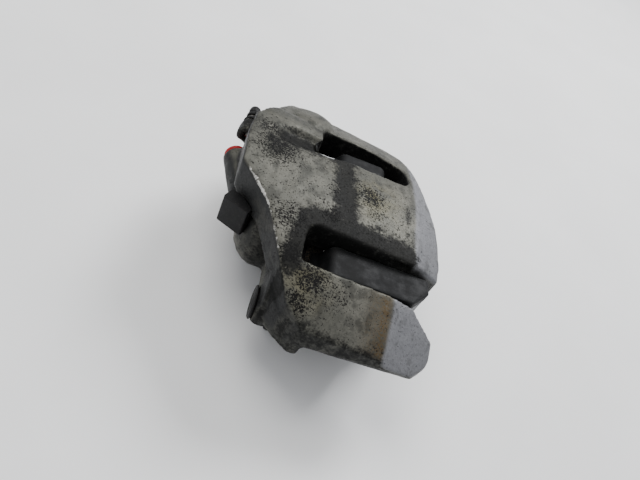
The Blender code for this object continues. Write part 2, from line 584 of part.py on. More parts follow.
def carrier():
    """The iron bracket: two bars over the disc, four pad abutments, pin lugs, knuckle lugs and two ties."""
    body = bar(-1)
    body.name = "carrier_bracket"
    added = [bar(1)]
    for side in (-1, 1):
        inner = side * LEG_INNER_Y
        outer = side * LEG_OUTER_Y
        for face, back in ((-LEG_FACE_X, -LEG_BACK_X), (LEG_FACE_X, LEG_BACK_X)):
            leg = [(inner, LEG_TOP_Z + 4.0, 0), (side * (WINDOW_OUTER_Y - SLIDE), LEG_TOP_Z + 4.0, 2.0),
                   (outer, LEG_TOP_Z, 5.0), (outer, -52.0, 8.0), (inner + side * 10.0, LEG_BOTTOM_Z, 5.0),
                   (inner, LEG_BOTTOM_Z, 0)]
            low, high = sorted((face, back))
            added.append(prism("leg", rounded(leg, 0.0), low, high, "X"))
        added.append(cylinder("pin lug", (side * PIN_Y, PIN_Z), PIN_LUG_RADIUS, PIN_POCKET_X - 2, -LEG_FACE_X))
        added.append(cylinder("knuckle lug", (side * KNUCKLE_Y, KNUCKLE_Z), KNUCKLE_LUG_RADIUS, KNUCKLE_FACE_X,
                              -LEG_FACE_X, sides=ROUND))
    wide = KNUCKLE_Y
    tie = [(-wide, TIE_TOP_Z), (wide, TIE_TOP_Z), (wide, TIE_BOTTOM_Z), (-wide, TIE_BOTTOM_Z)]
    added.append(prism("inboard tie", tie, -LEG_FACE_X - TIE_THICKNESS, -LEG_FACE_X, "X"))
    wide = LEG_INNER_Y + 7.0
    tie = [(-wide, TIE_TOP_Z, 0), (wide, TIE_TOP_Z, 0), (wide - 4, TIE_BOTTOM_Z, 3), (-wide + 4, TIE_BOTTOM_Z, 3)]
    added.append(prism("outboard tie", rounded(tie, 0.0), LEG_FACE_X, LEG_FACE_X + TIE_THICKNESS - 4.0, "X"))
    combine(body, "UNION", added)
    room = [(-90.0, -LEG_INNER_Y), (90.0, -LEG_INNER_Y), (90.0, LEG_INNER_Y), (-90.0, LEG_INNER_Y)]
    cuts = [prism("pad room", room, PAD_BOTTOM_Z - SLIDE, BAR_TOP_Z - BAR_THICKNESS - 2 * SLIDE, "Z")]
    for side in (-1, 1):
        cuts.append(cylinder("knuckle hole", (side * KNUCKLE_Y, KNUCKLE_Z), KNUCKLE_HOLE_RADIUS, -60.0, 0.0))
        cuts.append(cylinder("ear pocket", (side * PIN_Y, PIN_Z), EAR_RADIUS + SLIDE, -60.0, PIN_POCKET_X))
        cuts.append(cylinder("pin hole", (side * PIN_Y, PIN_Z), PIN_RADIUS + TOUCH, -60.0, 0.0))
    return combine(body, "DIFFERENCE", cuts)


def piston_clip():
    """The pad's three-legged spring: a thin disc with legs that press inside the piston's cup."""
    radius = BORE_RADIUS - TOUCH - PISTON_WALL - TOUCH
    plate = [(0, 0.5), (9.0, 0.5), (9.0, 1.7), (0, 1.7)]
    body = turned("piston_clip", plate, (-STACK_X, 0, BORE_Z), (-1, 0, 0))
    legs = []
    for index in range(3):
        turn = math.radians(90 + 120 * index)
        arm = [(6.0, 0.5), (radius, 0.5), (radius, 12.0), (radius - 1.2, 12.0), (radius - 1.2, 1.7), (6.0, 1.7)]
        made = prism("clip leg", [(-x, z) for z, x in arm], -3.0, 3.0, "Y")
        made.data.transform(Matrix.Rotation(turn, 4, "X"))
        made.data.transform(Matrix.Translation(Vector((-STACK_X, 0, BORE_Z)) * MM))
        legs.append(made)
    return combine(body, "UNION", legs)


def bleeder_parts():
    """The bleed screw, its rubber cap and the cap's strap, along +Y from the bleed boss."""
    base = (BLEED_X, BLEED_FACE_Y, BLEED_Z)
    up = (0, 1, 0)
    nipple = BLEED_NIPPLE_RADIUS
    screw = [(0, -BLEED_HOLE_DEPTH + 1), (1.2, -BLEED_HOLE_DEPTH + 1), (BLEED_HOLE_RADIUS, -BLEED_HOLE_DEPTH + 4),
             (BLEED_HOLE_RADIUS, 1.2), (BLEED_HOLE_RADIUS + 1.0, 1.2), (BLEED_HOLE_RADIUS + 1.0, 5.0),
             (nipple, 5.6), (nipple, 11.0), (nipple + 0.6, 12.0), (nipple + 0.6, 13.4), (nipple - 0.8, 16.0),
             (0, 16.0)]
    body = turned("bleed_screw", screw, base, up)
    combine(body, "DIFFERENCE", [cylinder("drilling", (BLEED_X, BLEED_Z), 0.9, BLEED_FACE_Y + 2.0,
                                          BLEED_FACE_Y + BLEED_LENGTH, "Y", 8)])
    inner = nipple + 0.6 + TOUCH
    outer = BLEED_CAP_RADIUS
    cover = [(inner, 6.4), (outer + 0.6, 6.4), (outer + 0.6, 9.4), (outer - 0.6, 10.4), (outer, 12.0),
             (outer - 0.4, 16.0), (2.4, 18.6), (0, 18.8), (0, 16.6), (nipple - 0.4, 16.6), (inner, 13.6)]
    cap = turned("bleed_cap", cover, base, up)
    return body, cap


def cap_strap():
    """The strap's ring round the bleed boss, with its tongue folded up beside the cap."""
    base = (BLEED_X, BLEED_FACE_Y, BLEED_Z)
    inner = BLEED_HOLE_RADIUS + 1.3
    ring = [(inner, 2.3), (inner + 0.8, 2.3), (inner + 0.8, 0.6), (inner, 0.6)]
    body = turned("cap_strap", ring, base, (0, 1, 0))
    run = [(5.1, 0.7), (6.3, 0.7), (7.2, 3.5), (7.2, 7.5), (6.2, 9.6), (5.0, 10.4), (5.0, 9.2), (5.6, 8.6),
           (6.1, 7.2), (6.1, 3.9), (5.6, 2.0), (5.1, 2.0)]
    tongue = prism("tongue", run, -1.8, 1.8, "Z")
    tongue.data.transform(Matrix.Rotation(math.radians(-TONGUE_LIFT), 4, "Y"))
    tongue.data.transform(Matrix.Translation(Vector(base) * MM))
    return combine(body, "UNION", [tongue])


def inlet_plug():
    """The red transit plug in the hose port."""
    toward = unit(INLET_BASE, INLET_TIP)
    radius = INLET_HOLE_RADIUS - TOUCH
    head = PLUG_HEAD_RADIUS
    plug = [(0, -8.0), (radius - 0.6, -8.0), (radius, -6.5), (radius, TOUCH), (head - 0.3, TOUCH), (head, 1.2), (head - 0.3, 2.6),
            (5.6, 3.2), (0, 3.4)]
    return turned("inlet_plug", plug, (*INLET_TIP, INLET_Z), toward)


def main():
    for old in list(bpy.data.objects):
        bpy.data.objects.remove(old)
    frame = bpy.data.objects.new("caliper_frame", None)
    bpy.context.scene.collection.objects.link(frame)
    frame.location = Vector((-KNUCKLE_FACE_X, 0.0, -KNUCKLE_Z)) * MM

    cast_alloy = material("cast_alloy", (0.36, 0.35, 0.33), 0.55, 0.6)
    cast_iron = material("cast_iron", (0.045, 0.047, 0.05), 0.5, 0.5)
    steel = material("steel", (0.55, 0.55, 0.56), 0.3, 1.0)
    backing_paint = material("backing_paint", (0.03, 0.03, 0.032), 0.5, 0.0)
    friction = material("friction", (0.12, 0.1, 0.09), 0.9, 0.0)
    rubber = material("rubber", (0.015, 0.015, 0.016), 0.6, 0.0)
    black_plastic = material("black_plastic", (0.02, 0.02, 0.023), 0.45, 0.0)
    red_plastic = material("red_plastic", (0.6, 0.04, 0.03), 0.4, 0.0)

    finish(housing(), cast_alloy)
    finish(carrier(), cast_iron)
    bore_centre = (-STACK_X, 0, BORE_Z)
    cup = finish(piston(), steel)
    set_origin(cup, bore_centre)
    finish(piston_seal(), rubber)
    finish(dust_boot(), rubber)
    finish(piston_clip(), steel)
    for side, name in ((-1, "near"), (1, "far")):
        pin, bush, cap = guide_parts(side, name)
        finish(pin, steel)
        finish(bush, rubber)
        finish(cap, black_plastic)
    for side, name in ((-1, "inner_pad"), (1, "outer_pad")):
        backing, lining, shim = pad(side, name)
        finish(backing, backing_paint)
        finish(lining, friction)
        finish(shim, steel)
    screw, cap = bleeder_parts()
    finish(screw, steel)
    finish(cap, rubber)
    for piece in (screw, cap):
        set_origin(piece, (BLEED_X, BLEED_FACE_Y, BLEED_Z))
    finish(cap_strap(), rubber)
    plug = finish(inlet_plug(), red_plastic)
    set_origin(plug, (*INLET_TIP, INLET_Z))
    finish(sensor_holder(), black_plastic)


main()
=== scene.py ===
"""Finished surfaces, finishes and studio for a floating disc brake caliper on its bracket.

Every length is in metres in the caliper's own frame: +X along the disc's axis towards the wheel,
+Y along the disc's rim towards the bleeder and +Z out through the bridge.
"""

import logging
import math
from dataclasses import dataclass
from enum import Enum
from functools import cache
from typing import Optional, Protocol, Sequence

import bmesh
import bpy
import numpy as np
from mathutils import Matrix, Vector


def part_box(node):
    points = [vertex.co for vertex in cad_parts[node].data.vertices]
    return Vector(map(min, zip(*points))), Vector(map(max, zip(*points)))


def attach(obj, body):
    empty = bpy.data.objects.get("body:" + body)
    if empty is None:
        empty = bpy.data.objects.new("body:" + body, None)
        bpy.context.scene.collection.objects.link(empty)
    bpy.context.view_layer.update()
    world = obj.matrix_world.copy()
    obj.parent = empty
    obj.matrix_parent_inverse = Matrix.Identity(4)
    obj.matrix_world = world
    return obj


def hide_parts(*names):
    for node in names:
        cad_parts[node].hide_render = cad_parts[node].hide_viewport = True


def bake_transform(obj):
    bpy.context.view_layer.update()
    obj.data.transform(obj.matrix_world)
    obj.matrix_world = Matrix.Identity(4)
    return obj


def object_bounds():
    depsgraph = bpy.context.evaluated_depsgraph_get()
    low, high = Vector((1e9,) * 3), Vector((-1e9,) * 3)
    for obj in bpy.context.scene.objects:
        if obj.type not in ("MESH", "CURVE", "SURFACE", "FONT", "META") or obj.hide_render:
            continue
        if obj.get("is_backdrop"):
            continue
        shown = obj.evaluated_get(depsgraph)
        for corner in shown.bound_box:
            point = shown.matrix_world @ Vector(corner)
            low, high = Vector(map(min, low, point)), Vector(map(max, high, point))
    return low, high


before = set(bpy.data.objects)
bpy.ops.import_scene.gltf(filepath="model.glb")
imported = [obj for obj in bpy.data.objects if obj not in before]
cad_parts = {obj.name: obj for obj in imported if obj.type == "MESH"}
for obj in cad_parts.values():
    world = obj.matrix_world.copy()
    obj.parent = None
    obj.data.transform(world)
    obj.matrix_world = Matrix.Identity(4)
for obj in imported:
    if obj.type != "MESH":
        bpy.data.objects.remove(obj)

LOG = logging.getLogger("caliper")
Socket = bpy.types.NodeSocket
Point = tuple[float, float, float]
Colour = tuple[float, float, float, float]

LATTICE_HEIGHTS = 4096
"""How many random heights a lattice draws from."""
LATTICE_STRIDES = np.array([73856093, 19349663, 83492791])
"""Large odd strides that scatter a lattice's corners over its heights."""
LATTICE_SHIFT = 1000.0
"""Cells added so that every corner's number is positive."""
OFF_AXIS = (0.31, 0.17, 0.93)
"""A direction that no turned piece's axis follows."""


class Slot(Enum):
    """The record's finish slots."""

    CAST_ALLOY = "cast_alloy"
    CAST_IRON = "cast_iron"
    STEEL = "steel"
    BACKING_PAINT = "backing_paint"
    FRICTION = "friction"
    RUBBER = "rubber"
    BLACK_PLASTIC = "black_plastic"
    RED_PLASTIC = "red_plastic"


class Shape(Enum):
    """How a soft mask is laid on a casting's skin."""

    ROUND = "round"
    BAND = "band"


@dataclass(frozen=True)
class Patch:
    """A soft patch of dirt, of wear or of painted shade on a casting.

    A round patch has one centre; a band runs straight from start to end.
    """

    start: Point
    end: Point
    radius: float
    strength: float = 1.0
    shape: Shape = Shape.BAND

    def weight(self, points: np.ndarray) -> np.ndarray:
        """Falls smoothly from the strength on the centre line to nothing at the radius and beyond.

        Args:
            points: Positions, one row each.

        Returns:
            strength * exp(-(distance / radius) squared), the distance being to the nearest point of the line.
        """
        first = np.array(self.start)
        run = np.array(self.end) - first
        length = max(float(run @ run), 1e-12)
        along = np.clip((points - first) @ run / length, 0.0, 1.0)
        if self.shape is Shape.ROUND:
            along = np.zeros(len(points))
        gap = np.linalg.norm(points - first - along[:, None] * run, axis=1)
        return self.strength * np.exp(-((gap / self.radius) ** 2))


def spot(centre: Point, radius: float, strength: float = 1.0) -> Patch:
    """A round patch round one centre."""
    return Patch(centre, centre, radius, strength, Shape.ROUND)


def strongest(patches: Sequence[Patch], points: np.ndarray, least: float = 0.0) -> np.ndarray:
    """The largest of several patches' weights at each point.

    Args:
        patches: The patches.
        points: Positions, one row each.
        least: Weight where no patch reaches.

    Returns:
        One weight for each point.
    """
    total = np.full(len(points), least)
    for patch in patches:
        total = np.maximum(total, patch.weight(points))
    return total


# ---------------------------------------------------------------- numbers over whole arrays


def smoothstep(value: np.ndarray, low: float, high: float) -> np.ndarray:
    """Rises from 0 at low to 1 at high with level ends: t squared times (3 - 2 t)."""
    t = np.clip((value - low) / (high - low), 0.0, 1.0)
    return t * t * (3.0 - 2.0 * t)


def lattice_noise(points: np.ndarray, cell: float, seed: int) -> np.ndarray:
    """Smooth random heights over space.

    Each corner of a cubic lattice has a random height, and a point's height blends its cell's eight corners
    with smoothed weights.

    Args:
        points: Positions, one row each.
        cell: Side of a lattice cube.
        seed: Picks one set of heights.

    Returns:
        One height from -1 to 1 for each point.
    """
    table = np.random.default_rng(seed).uniform(-1.0, 1.0, LATTICE_HEIGHTS)
    scaled = points / cell + LATTICE_SHIFT
    base = np.floor(scaled).astype(np.int64)
    part = scaled - base
    part = part * part * (3.0 - 2.0 * part)
    total = np.zeros(len(points))
    for corner in range(8):
        step = np.array([corner & 1, corner >> 1 & 1, corner >> 2 & 1])
        index = (base + step) @ LATTICE_STRIDES % LATTICE_HEIGHTS
        total += table[index] * np.prod(np.where(step == 1, part, 1.0 - part), axis=1)
    return total


@dataclass
class Skin:
    """A mesh's points and edges as arrays, for work over the whole surface at once."""

    points: np.ndarray
    edges: np.ndarray
    normals: np.ndarray

    @classmethod
    def of(cls, mesh: bpy.types.Mesh) -> "Skin":
        """Reads a mesh into arrays.

        Args:
            mesh: Any polygon mesh.

        Returns:
            The mesh's skin.
        """
        points = np.empty(len(mesh.vertices) * 3, np.float32)
        mesh.vertices.foreach_get("co", points)
        edges = np.empty(len(mesh.edges) * 2, np.int32)
        mesh.edges.foreach_get("vertices", edges)
        normals = np.empty(len(mesh.vertices) * 3, np.float32)
        mesh.vertex_normals.foreach_get("vector", normals)
        points, normals = (flat.reshape(-1, 3).astype(float) for flat in (points, normals))
        return cls(points, edges.reshape(-1, 2), normals)

    def neighbours_mean(self, values: np.ndarray) -> np.ndarray:
        """Mean of each point's neighbours, joined to it by an edge.

        Args:
            values: One row for each point.

        Returns:
            One averaged row for each point.
        """
        one, two = self.edges[:, 0], self.edges[:, 1]
        count = len(self.points)
        share = np.maximum(np.bincount(one, minlength=count) + np.bincount(two, minlength=count), 1)
        columns = [
            np.bincount(one, values[two, k], count) + np.bincount(two, values[one, k], count)
            for k in range(values.shape[1])
        ]
        return np.stack(columns, axis=1) / share[:, None]

    def relaxed(self, rounds: int, pull: float = 0.5) -> np.ndarray:
        """Points after moving each one part of the way to its neighbours' mean, over and over.

        Args:
            rounds: How many times they move.
            pull: Share of the way they go each time.

        Returns:
            One row for each point.
        """
        points = self.points.copy()
        for _ in range(rounds):
            points += pull * (self.neighbours_mean(points) - points)
        return points

    def sharpness(self, rounds: int) -> np.ndarray:
        """How far each point stands proud of the smoothed surface: positive on edges, negative in corners."""
        return np.einsum("ij,ij->i", self.points - self.relaxed(rounds), self.normals)


def unit(vector: np.ndarray) -> np.ndarray:
    """The same direction with length 1, row by row."""
    return vector / np.maximum(np.linalg.norm(vector, axis=-1, keepdims=True), 1e-12)


def eased(path: np.ndarray, radius: float, closed: bool = False, steps: int = 4) -> np.ndarray:
    """Rounds a flat path's corners.

    Each corner gives way to a quadratic curve that leaves one side and meets the next at the same distance.

    Args:
        path: Corner points, two columns.
        radius: Distance from the corner at which its curve begins.
        closed: Whether the last point joins the first.
        steps: Points on each curve.

    Returns:
        The rounded path.
    """
    before, after = np.roll(path, 1, axis=0), np.roll(path, -1, axis=0)
    reach_in = np.minimum(np.linalg.norm(before - path, axis=1) * 0.42, radius)[:, None]
    reach_out = np.minimum(np.linalg.norm(after - path, axis=1) * 0.42, radius)[:, None]
    start = path + unit(before - path) * reach_in
    end = path + unit(after - path) * reach_out
    t = np.linspace(0.0, 1.0, steps)[None, :, None]
    curve = (1 - t) ** 2 * start[:, None] + 2 * t * (1 - t) * path[:, None] + t**2 * end[:, None]
    if closed:
        return curve.reshape(-1, 2)
    return np.concatenate([path[:1], curve[1:-1].reshape(-1, 2), path[-1:]])


def ribbon(path: np.ndarray, thickness: float) -> np.ndarray:
    """A closed flat outline that follows a path at half the thickness on each side of it.

    Args:
        path: The middle line, two columns.
        thickness: Width of the ribbon.

    Returns:
        The outline: out along one side and back along the other.
    """
    run = unit(np.gradient(path, axis=0))
    side = np.stack([-run[:, 1], run[:, 0]], axis=1) * thickness / 2
    return np.concatenate([path + side, (path - side)[::-1]])


def revolve(
    name: str,
    profile: np.ndarray,
    origin: Point,
    axis: Point,
    segments: int = 72,
    closed: bool = False,
    section: Optional[np.ndarray] = None,
) -> bpy.types.Object:
    """A profile turned about an axis: origin + height * axis + radius * (cos u, sin u) across it.

    Args:
        name: The piece's name.
        profile: Radius and height, one row each.
        origin: A point on the axis, at height 0.
        axis: The axis' direction.
        segments: Steps round the axis.
        closed: Whether the profile's last point joins its first.
        section: Multiplies the radius, one row for each profile point and one column for each step.

    Returns:
        The piece, with poles merged and faces pointing outwards.
    """
    along = unit(np.array(axis, float))
    across = unit(np.cross(along, OFF_AXIS))
    third = np.cross(along, across)
    u = np.linspace(0.0, 2 * math.pi, segments, endpoint=False)
    radius = profile[:, :1] * (np.ones((1, segments)) if section is None else section)
    points = (
        np.array(origin)
        + profile[:, 1][:, None, None] * along
        + radius[..., None] * (np.cos(u)[:, None] * across + np.sin(u)[:, None] * third)
    )
    rows = len(profile)
    row = np.arange(rows if closed else rows - 1)[:, None]
    column = np.arange(segments)[None, :]
    following, beside = (row + 1) % rows, (column + 1) % segments
    quads = np.stack(
        [row * segments + column, row * segments + beside, following * segments + beside,
         following * segments + column], axis=-1)
    return surface(name, points.reshape(-1, 3), quads.reshape(-1, 4))


def hexagon(rows: np.ndarray, segments: int) -> np.ndarray:
    """Section of a revolved piece that is a hexagon on the chosen rows and round elsewhere.

    The hexagon's radius at an angle is cos 30 degrees over the cosine of the angle from the middle of its flat.

    Args:
        rows: True on the rows that are hexagonal.
        segments: Steps round the axis.

    Returns:
        Radius multipliers for revolve().
    """
    u = np.linspace(0.0, 2 * math.pi, segments, endpoint=False)
    from_flat = np.mod(u, math.pi / 3) - math.pi / 6
    return np.where(rows[:, None], math.cos(math.pi / 6) / np.cos(from_flat)[None, :], 1.0)


def surface(name: str, points: np.ndarray, faces: np.ndarray) -> bpy.types.Object:
    """Makes an object from arrays, merges points that coincide and turns its faces outwards.

    Args:
        name: The piece's name.
        points: Positions, one row each.
        faces: Four corner indices a row.

    Returns:
        The new object, linked to the scene.
    """
    mesh = bpy.data.meshes.new(name)
    mesh.from_pydata(points.tolist(), [], faces.tolist())
    work = bmesh.new()
    work.from_mesh(mesh)
    bmesh.ops.remove_doubles(work, verts=work.verts, dist=1e-6)
    bmesh.ops.dissolve_degenerate(work, edges=work.edges, dist=1e-7)
    bmesh.ops.recalc_face_normals(work, faces=work.faces)
    work.to_mesh(mesh)
    work.free()
    mesh.shade_smooth()
    made = bpy.data.objects.new(name, mesh)
    bpy.context.scene.collection.objects.link(made)
    return made


def merged_copy(node: str, name: str) -> bpy.types.Object:
    """A copy of a frame node's mesh with its loose triangles joined into one skin.

    Args:
        node: The frame node.
        name: The copy's name.

    Returns:
        The copy, linked to the scene.
    """
    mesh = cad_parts[node].data.copy()
    mesh.name = name
    mesh.materials.clear()
    work = bmesh.new()
    work.from_mesh(mesh)
    bmesh.ops.remove_doubles(work, verts=work.verts, dist=2e-6)
    bmesh.ops.dissolve_limit(work, angle_limit=math.radians(0.6), verts=work.verts, edges=work.edges)
    work.to_mesh(mesh)
    work.free()
    made = bpy.data.objects.new(name, mesh)
    bpy.context.scene.collection.objects.link(made)
    return made


def softened(node: str, name: str, width: float, segments: int = 2, angle: float = 28.0) -> bpy.types.Object:
    """A merged copy of a frame node with its edges rounded.

    Args:
        node: The frame node.
        name: The copy's name.
        width: Width of the rounding.
        segments: Faces across the rounding.
        angle: Edges that turn by more than this many degrees are rounded.

    Returns:
        The copy with a live Bevel.
    """
    made = merged_copy(node, name)
    made.data.shade_smooth()
    made.data.set_sharp_from_angle(angle=math.radians(angle + 10.0))
    bevel = made.modifiers.new("rounded edges", "BEVEL")
    bevel.width = width
    bevel.segments = segments
    bevel.limit_method = "ANGLE"
    bevel.angle_limit = math.radians(angle)
    bevel.harden_normals = True
    bevel.use_clamp_overlap = True
    return made


def set_mask(mesh: bpy.types.Mesh, name: str, values: np.ndarray) -> None:
    """Stores one number for each point of a mesh, for its finish to read.

    Args:
        mesh: The mesh.
        name: The mask's name.
        values: One number for each point.
    """
    layer = mesh.attributes.get(name) or mesh.attributes.new(name, "FLOAT", "POINT")
    layer.data.foreach_set("value", values.astype(np.float32))


def mask_values(mesh: bpy.types.Mesh, name: str) -> np.ndarray:
    """Reads a stored mask back.

    Args:
        mesh: The mesh.
        name: The mask's name.

    Returns:
        One number for each point.
    """
    values = np.empty(len(mesh.vertices), np.float32)
    mesh.attributes[name].data.foreach_get("value", values)
    return values


# ---------------------------------------------------------------- finishes


class Graph:
    """Short ways to lay out a node tree, each giving the socket to use next."""

    def __init__(self, tree: bpy.types.NodeTree) -> None:
        """Starts on an empty tree."""
        self.tree = tree

    def node(self, kind: str) -> bpy.types.Node:
        """A new node of one kind."""
        return self.tree.nodes.new(kind)

    def plug(self, socket: Socket, value: object) -> None:
        """Links a socket to another, or sets it to a plain value.

        Args:
            socket: The input to fill.
            value: A socket or a plain value.
        """
        if isinstance(value, bpy.types.NodeSocket):
            self.tree.links.new(value, socket)
        else:
            socket.default_value = value

    def place(self) -> Socket:
        """Object coordinates."""
        return self.node("ShaderNodeTexCoord").outputs["Object"]

    def mask(self, name: str) -> Socket:
        """A mask stored on the mesh.

        Args:
            name: The mask's name.

        Returns:
            The mask, from 0 to 1.
        """
        made = self.node("ShaderNodeAttribute")
        made.attribute_name = name
        return made.outputs["Fac"]

    def maths(self, kind: str, one: object, two: object = 0.0, clamp: bool = False) -> Socket:
        """One sum on two values.

        Args:
            kind: The sum.
            one: First socket or number.
            two: Second socket or number.
            clamp: Whether the result is held from 0 to 1.

        Returns:
            The result.
        """
        made = self.node("ShaderNodeMath")
        made.operation = kind
        made.use_clamp = clamp
        self.plug(made.inputs[0], one)
        self.plug(made.inputs[1], two)
        return made.outputs[0]

    def stretch(self, place: Socket, scale: Point) -> Socket:
        """Coordinates scaled by a different amount on each axis.

        Args:
            place: The coordinates.
            scale: The three amounts.

        Returns:
            The scaled coordinates.
        """
        made = self.node("ShaderNodeVectorMath")
        made.operation = "MULTIPLY"
        self.plug(made.inputs[0], place)
        made.inputs[1].default_value = scale
        return made.outputs[0]

    def noise(self, place: Socket, scale: object, detail: float = 4.0, rough: float = 0.55) -> Socket:
        """Cloudy noise from 0 to 1.

        Args:
            place: The coordinates.
            scale: Clouds in a metre.
            detail: Layers of finer clouds.
            rough: Each finer layer's share.

        Returns:
            The noise.
        """
        made = self.node("ShaderNodeTexNoise")
        self.plug(made.inputs["Vector"], place)
        self.plug(made.inputs["Scale"], scale)
        made.inputs["Detail"].default_value = detail
        made.inputs["Roughness"].default_value = rough
        return made.outputs[0]

    def cells(self, place: Socket, scale: object) -> Socket:
        """Distance to the nearest of many scattered points.

        Args:
            place: The coordinates.
            scale: Points in a metre.

        Returns:
            The distance, in spacings.
        """
        made = self.node("ShaderNodeTexVoronoi")
        self.plug(made.inputs["Vector"], place)
        self.plug(made.inputs["Scale"], scale)
        return made.outputs["Distance"]

    def ramp(
        self, value: Socket, low: float, high: float, out_low: float = 0.0, out_high: float = 1.0
    ) -> Socket:
        """Maps low..high to out_low..out_high with smooth ends.

        Args:
            value: The value to map.
            low: Where the rise begins.
            high: Where it ends.
            out_low: Result at low.
            out_high: Result at high.

        Returns:
            The mapped value.
        """
        made = self.node("ShaderNodeMapRange")
        made.interpolation_type = "SMOOTHSTEP"
        self.plug(made.inputs["Value"], value)
        self.plug(made.inputs["From Min"], low)
        self.plug(made.inputs["From Max"], high)
        made.inputs["To Min"].default_value = out_low
        made.inputs["To Max"].default_value = out_high
        return made.outputs["Result"]

    def mix(self, share: Socket, one: object, two: object) -> Socket:
        """Blends two colours.

        Args:
            share: The second colour's share.
            one: First colour.
            two: Second colour.

        Returns:
            The blend.
        """
        made = self.node("ShaderNodeMix")
        made.data_type = "RGBA"
        self.plug(made.inputs[0], share)
        self.plug(made.inputs[6], one)
        self.plug(made.inputs[7], two)
        return made.outputs[2]

    def bump(self, height: Socket, distance: float, below: Optional[Socket] = None) -> Socket:
        """Turns a height into a normal, on top of another normal if one is given.

        Args:
            height: The height, from 0 to 1.
            distance: What a height of 1 stands for.
            below: The normal underneath.

        Returns:
            The normal.
        """
        made = self.node("ShaderNodeBump")
        made.inputs["Distance"].default_value = distance
        self.plug(made.inputs["Height"], height)
        if below is not None:
            self.plug(made.inputs["Normal"], below)
        return made.outputs["Normal"]

    def group(self, tree: bpy.types.NodeTree, **values: object) -> bpy.types.Node:
        """Places a node group and plugs its inputs.

        Args:
            tree: The group.
            values: A socket or number for each input.

        Returns:
            The group node.
        """
        made = self.node("ShaderNodeGroup")
        made.node_tree = tree
        for name, value in values.items():
            self.plug(made.inputs[name], value)
        return made


def colour(red: float, green: float, blue: float) -> Colour:
    """A linear colour with full cover."""
    return (red, green, blue, 1.0)


class Effects:
    """Node groups that several finishes share, each built once."""

    @staticmethod
    def _start(name: str, inputs: Sequence[str], output: str) -> tuple[Graph, dict[str, Socket], Socket]:
        """An empty group with its sockets: Place is a vector and each other one a number.

        Args:
            name: The group's name.
            inputs: The inputs' names.
            output: The output's name.

        Returns:
            The graph, its input sockets by name and its output socket.
        """
        tree = bpy.data.node_groups.new(name, "ShaderNodeTree")
        for label in inputs:
            kind = "NodeSocketVector" if label == "Place" else "NodeSocketFloat"
            tree.interface.new_socket(label, in_out="INPUT", socket_type=kind)
        tree.interface.new_socket(output, in_out="OUTPUT", socket_type="NodeSocketFloat")
        graph = Graph(tree)
        entry, leaving = graph.node("NodeGroupInput"), graph.node("NodeGroupOutput")
        return graph, dict(entry.outputs.items()), leaving.inputs[output]

    @staticmethod
    @cache
    def pitting() -> bpy.types.NodeTree:
        """Ragged corrosion pits, thicker where Spread is high.

        Two sizes of broken noise are cut at a level that falls as Spread rises, and scattered round dots join them.

        Returns:
            A group from Place, Spread and Grain to Mask.
        """
        graph, given, out = Effects._start("pitting", ("Place", "Spread", "Grain"), "Mask")
        ragged = graph.noise(given["Place"], given["Grain"], 7.0, 0.72)
        drift = graph.noise(given["Place"], graph.maths("MULTIPLY", given["Grain"], 0.28), 3.0)
        level = graph.maths("MULTIPLY", given["Spread"], 0.17)
        level = graph.maths("ADD", level, graph.maths("MULTIPLY", drift, 0.16))
        raised = graph.maths("ADD", ragged, level)
        blots = graph.ramp(raised, 0.700, 0.735)
        dots = graph.cells(given["Place"], graph.maths("MULTIPLY", given["Grain"], 1.2))
        reach = graph.maths("MULTIPLY", graph.maths("MULTIPLY", given["Spread"], drift), 0.62)
        dots = graph.ramp(graph.maths("SUBTRACT", reach, dots), -0.03, 0.06)
        graph.plug(out, graph.maths("MAXIMUM", blots, dots, clamp=True))
        return graph.tree

    @staticmethod
    @cache
    def grime_and_shade() -> bpy.types.NodeTree:
        """Oily dirt and painted shade with a broken, cloudy border that spreads as Cover rises from 0 to 1.

        Returns:
            A group from Place, Cover and Grain to Mask.
        """
        graph, given, out = Effects._start("grime_and_shade", ("Place", "Cover", "Grain"), "Mask")
        clouds = graph.noise(given["Place"], given["Grain"], 6.0, 0.65)
        streaks = graph.noise(given["Place"], graph.maths("MULTIPLY", given["Grain"], 4.0), 3.0, 0.6)
        broken = graph.maths("MULTIPLY", graph.maths("SUBTRACT", clouds, 0.5), 1.5)
        fine = graph.maths("MULTIPLY", graph.maths("SUBTRACT", streaks, 0.5), 0.55)
        total = graph.maths("ADD", given["Cover"], graph.maths("ADD", broken, fine))
        graph.plug(out, graph.ramp(total, 0.30, 0.82))
        return graph.tree

    @staticmethod
    @cache
    def edge_wear() -> bpy.types.NodeTree:
        """Bare metal along edges, broken up so that it comes and goes.

        Returns:
            A group from Place, Edge and Grain to Mask.
        """
        graph, given, out = Effects._start("edge_wear", ("Place", "Edge", "Grain"), "Mask")
        broken = graph.noise(given["Place"], given["Grain"], 4.0, 0.6)
        broken = graph.maths("MULTIPLY", graph.maths("SUBTRACT", broken, 0.5), 1.3)
        total = graph.maths("ADD", given["Edge"], broken)
        graph.plug(out, graph.ramp(total, 0.55, 0.9))
        return graph.tree

    @staticmethod
    @cache
    def grain() -> bpy.types.NodeTree:
        """Skin of a sand casting: a fine sandy height over a slow swell.

        Returns:
            A group from Place and Grain to Height.
        """
        graph, given, out = Effects._start("grain", ("Place", "Grain"), "Height")
        sand = graph.noise(given["Place"], given["Grain"], 5.0, 0.7)
        swell = graph.noise(given["Place"], graph.maths("MULTIPLY", given["Grain"], 0.22), 3.0, 0.5)
        graph.plug(out, graph.maths("ADD", graph.maths("MULTIPLY", sand, 0.6), swell))
        return graph.tree


def new_material(slot: Slot) -> tuple[bpy.types.Material, Graph, bpy.types.Node]:
    """A material with its shader, ready to be dressed.

    Args:
        slot: The finish slot that names it.

    Returns:
        The material, its graph and its Principled shader.
    """
    made = bpy.data.materials.new("finish_" + slot.value)
    made.use_nodes = True
    return made, Graph(made.node_tree), made.node_tree.nodes["Principled BSDF"]


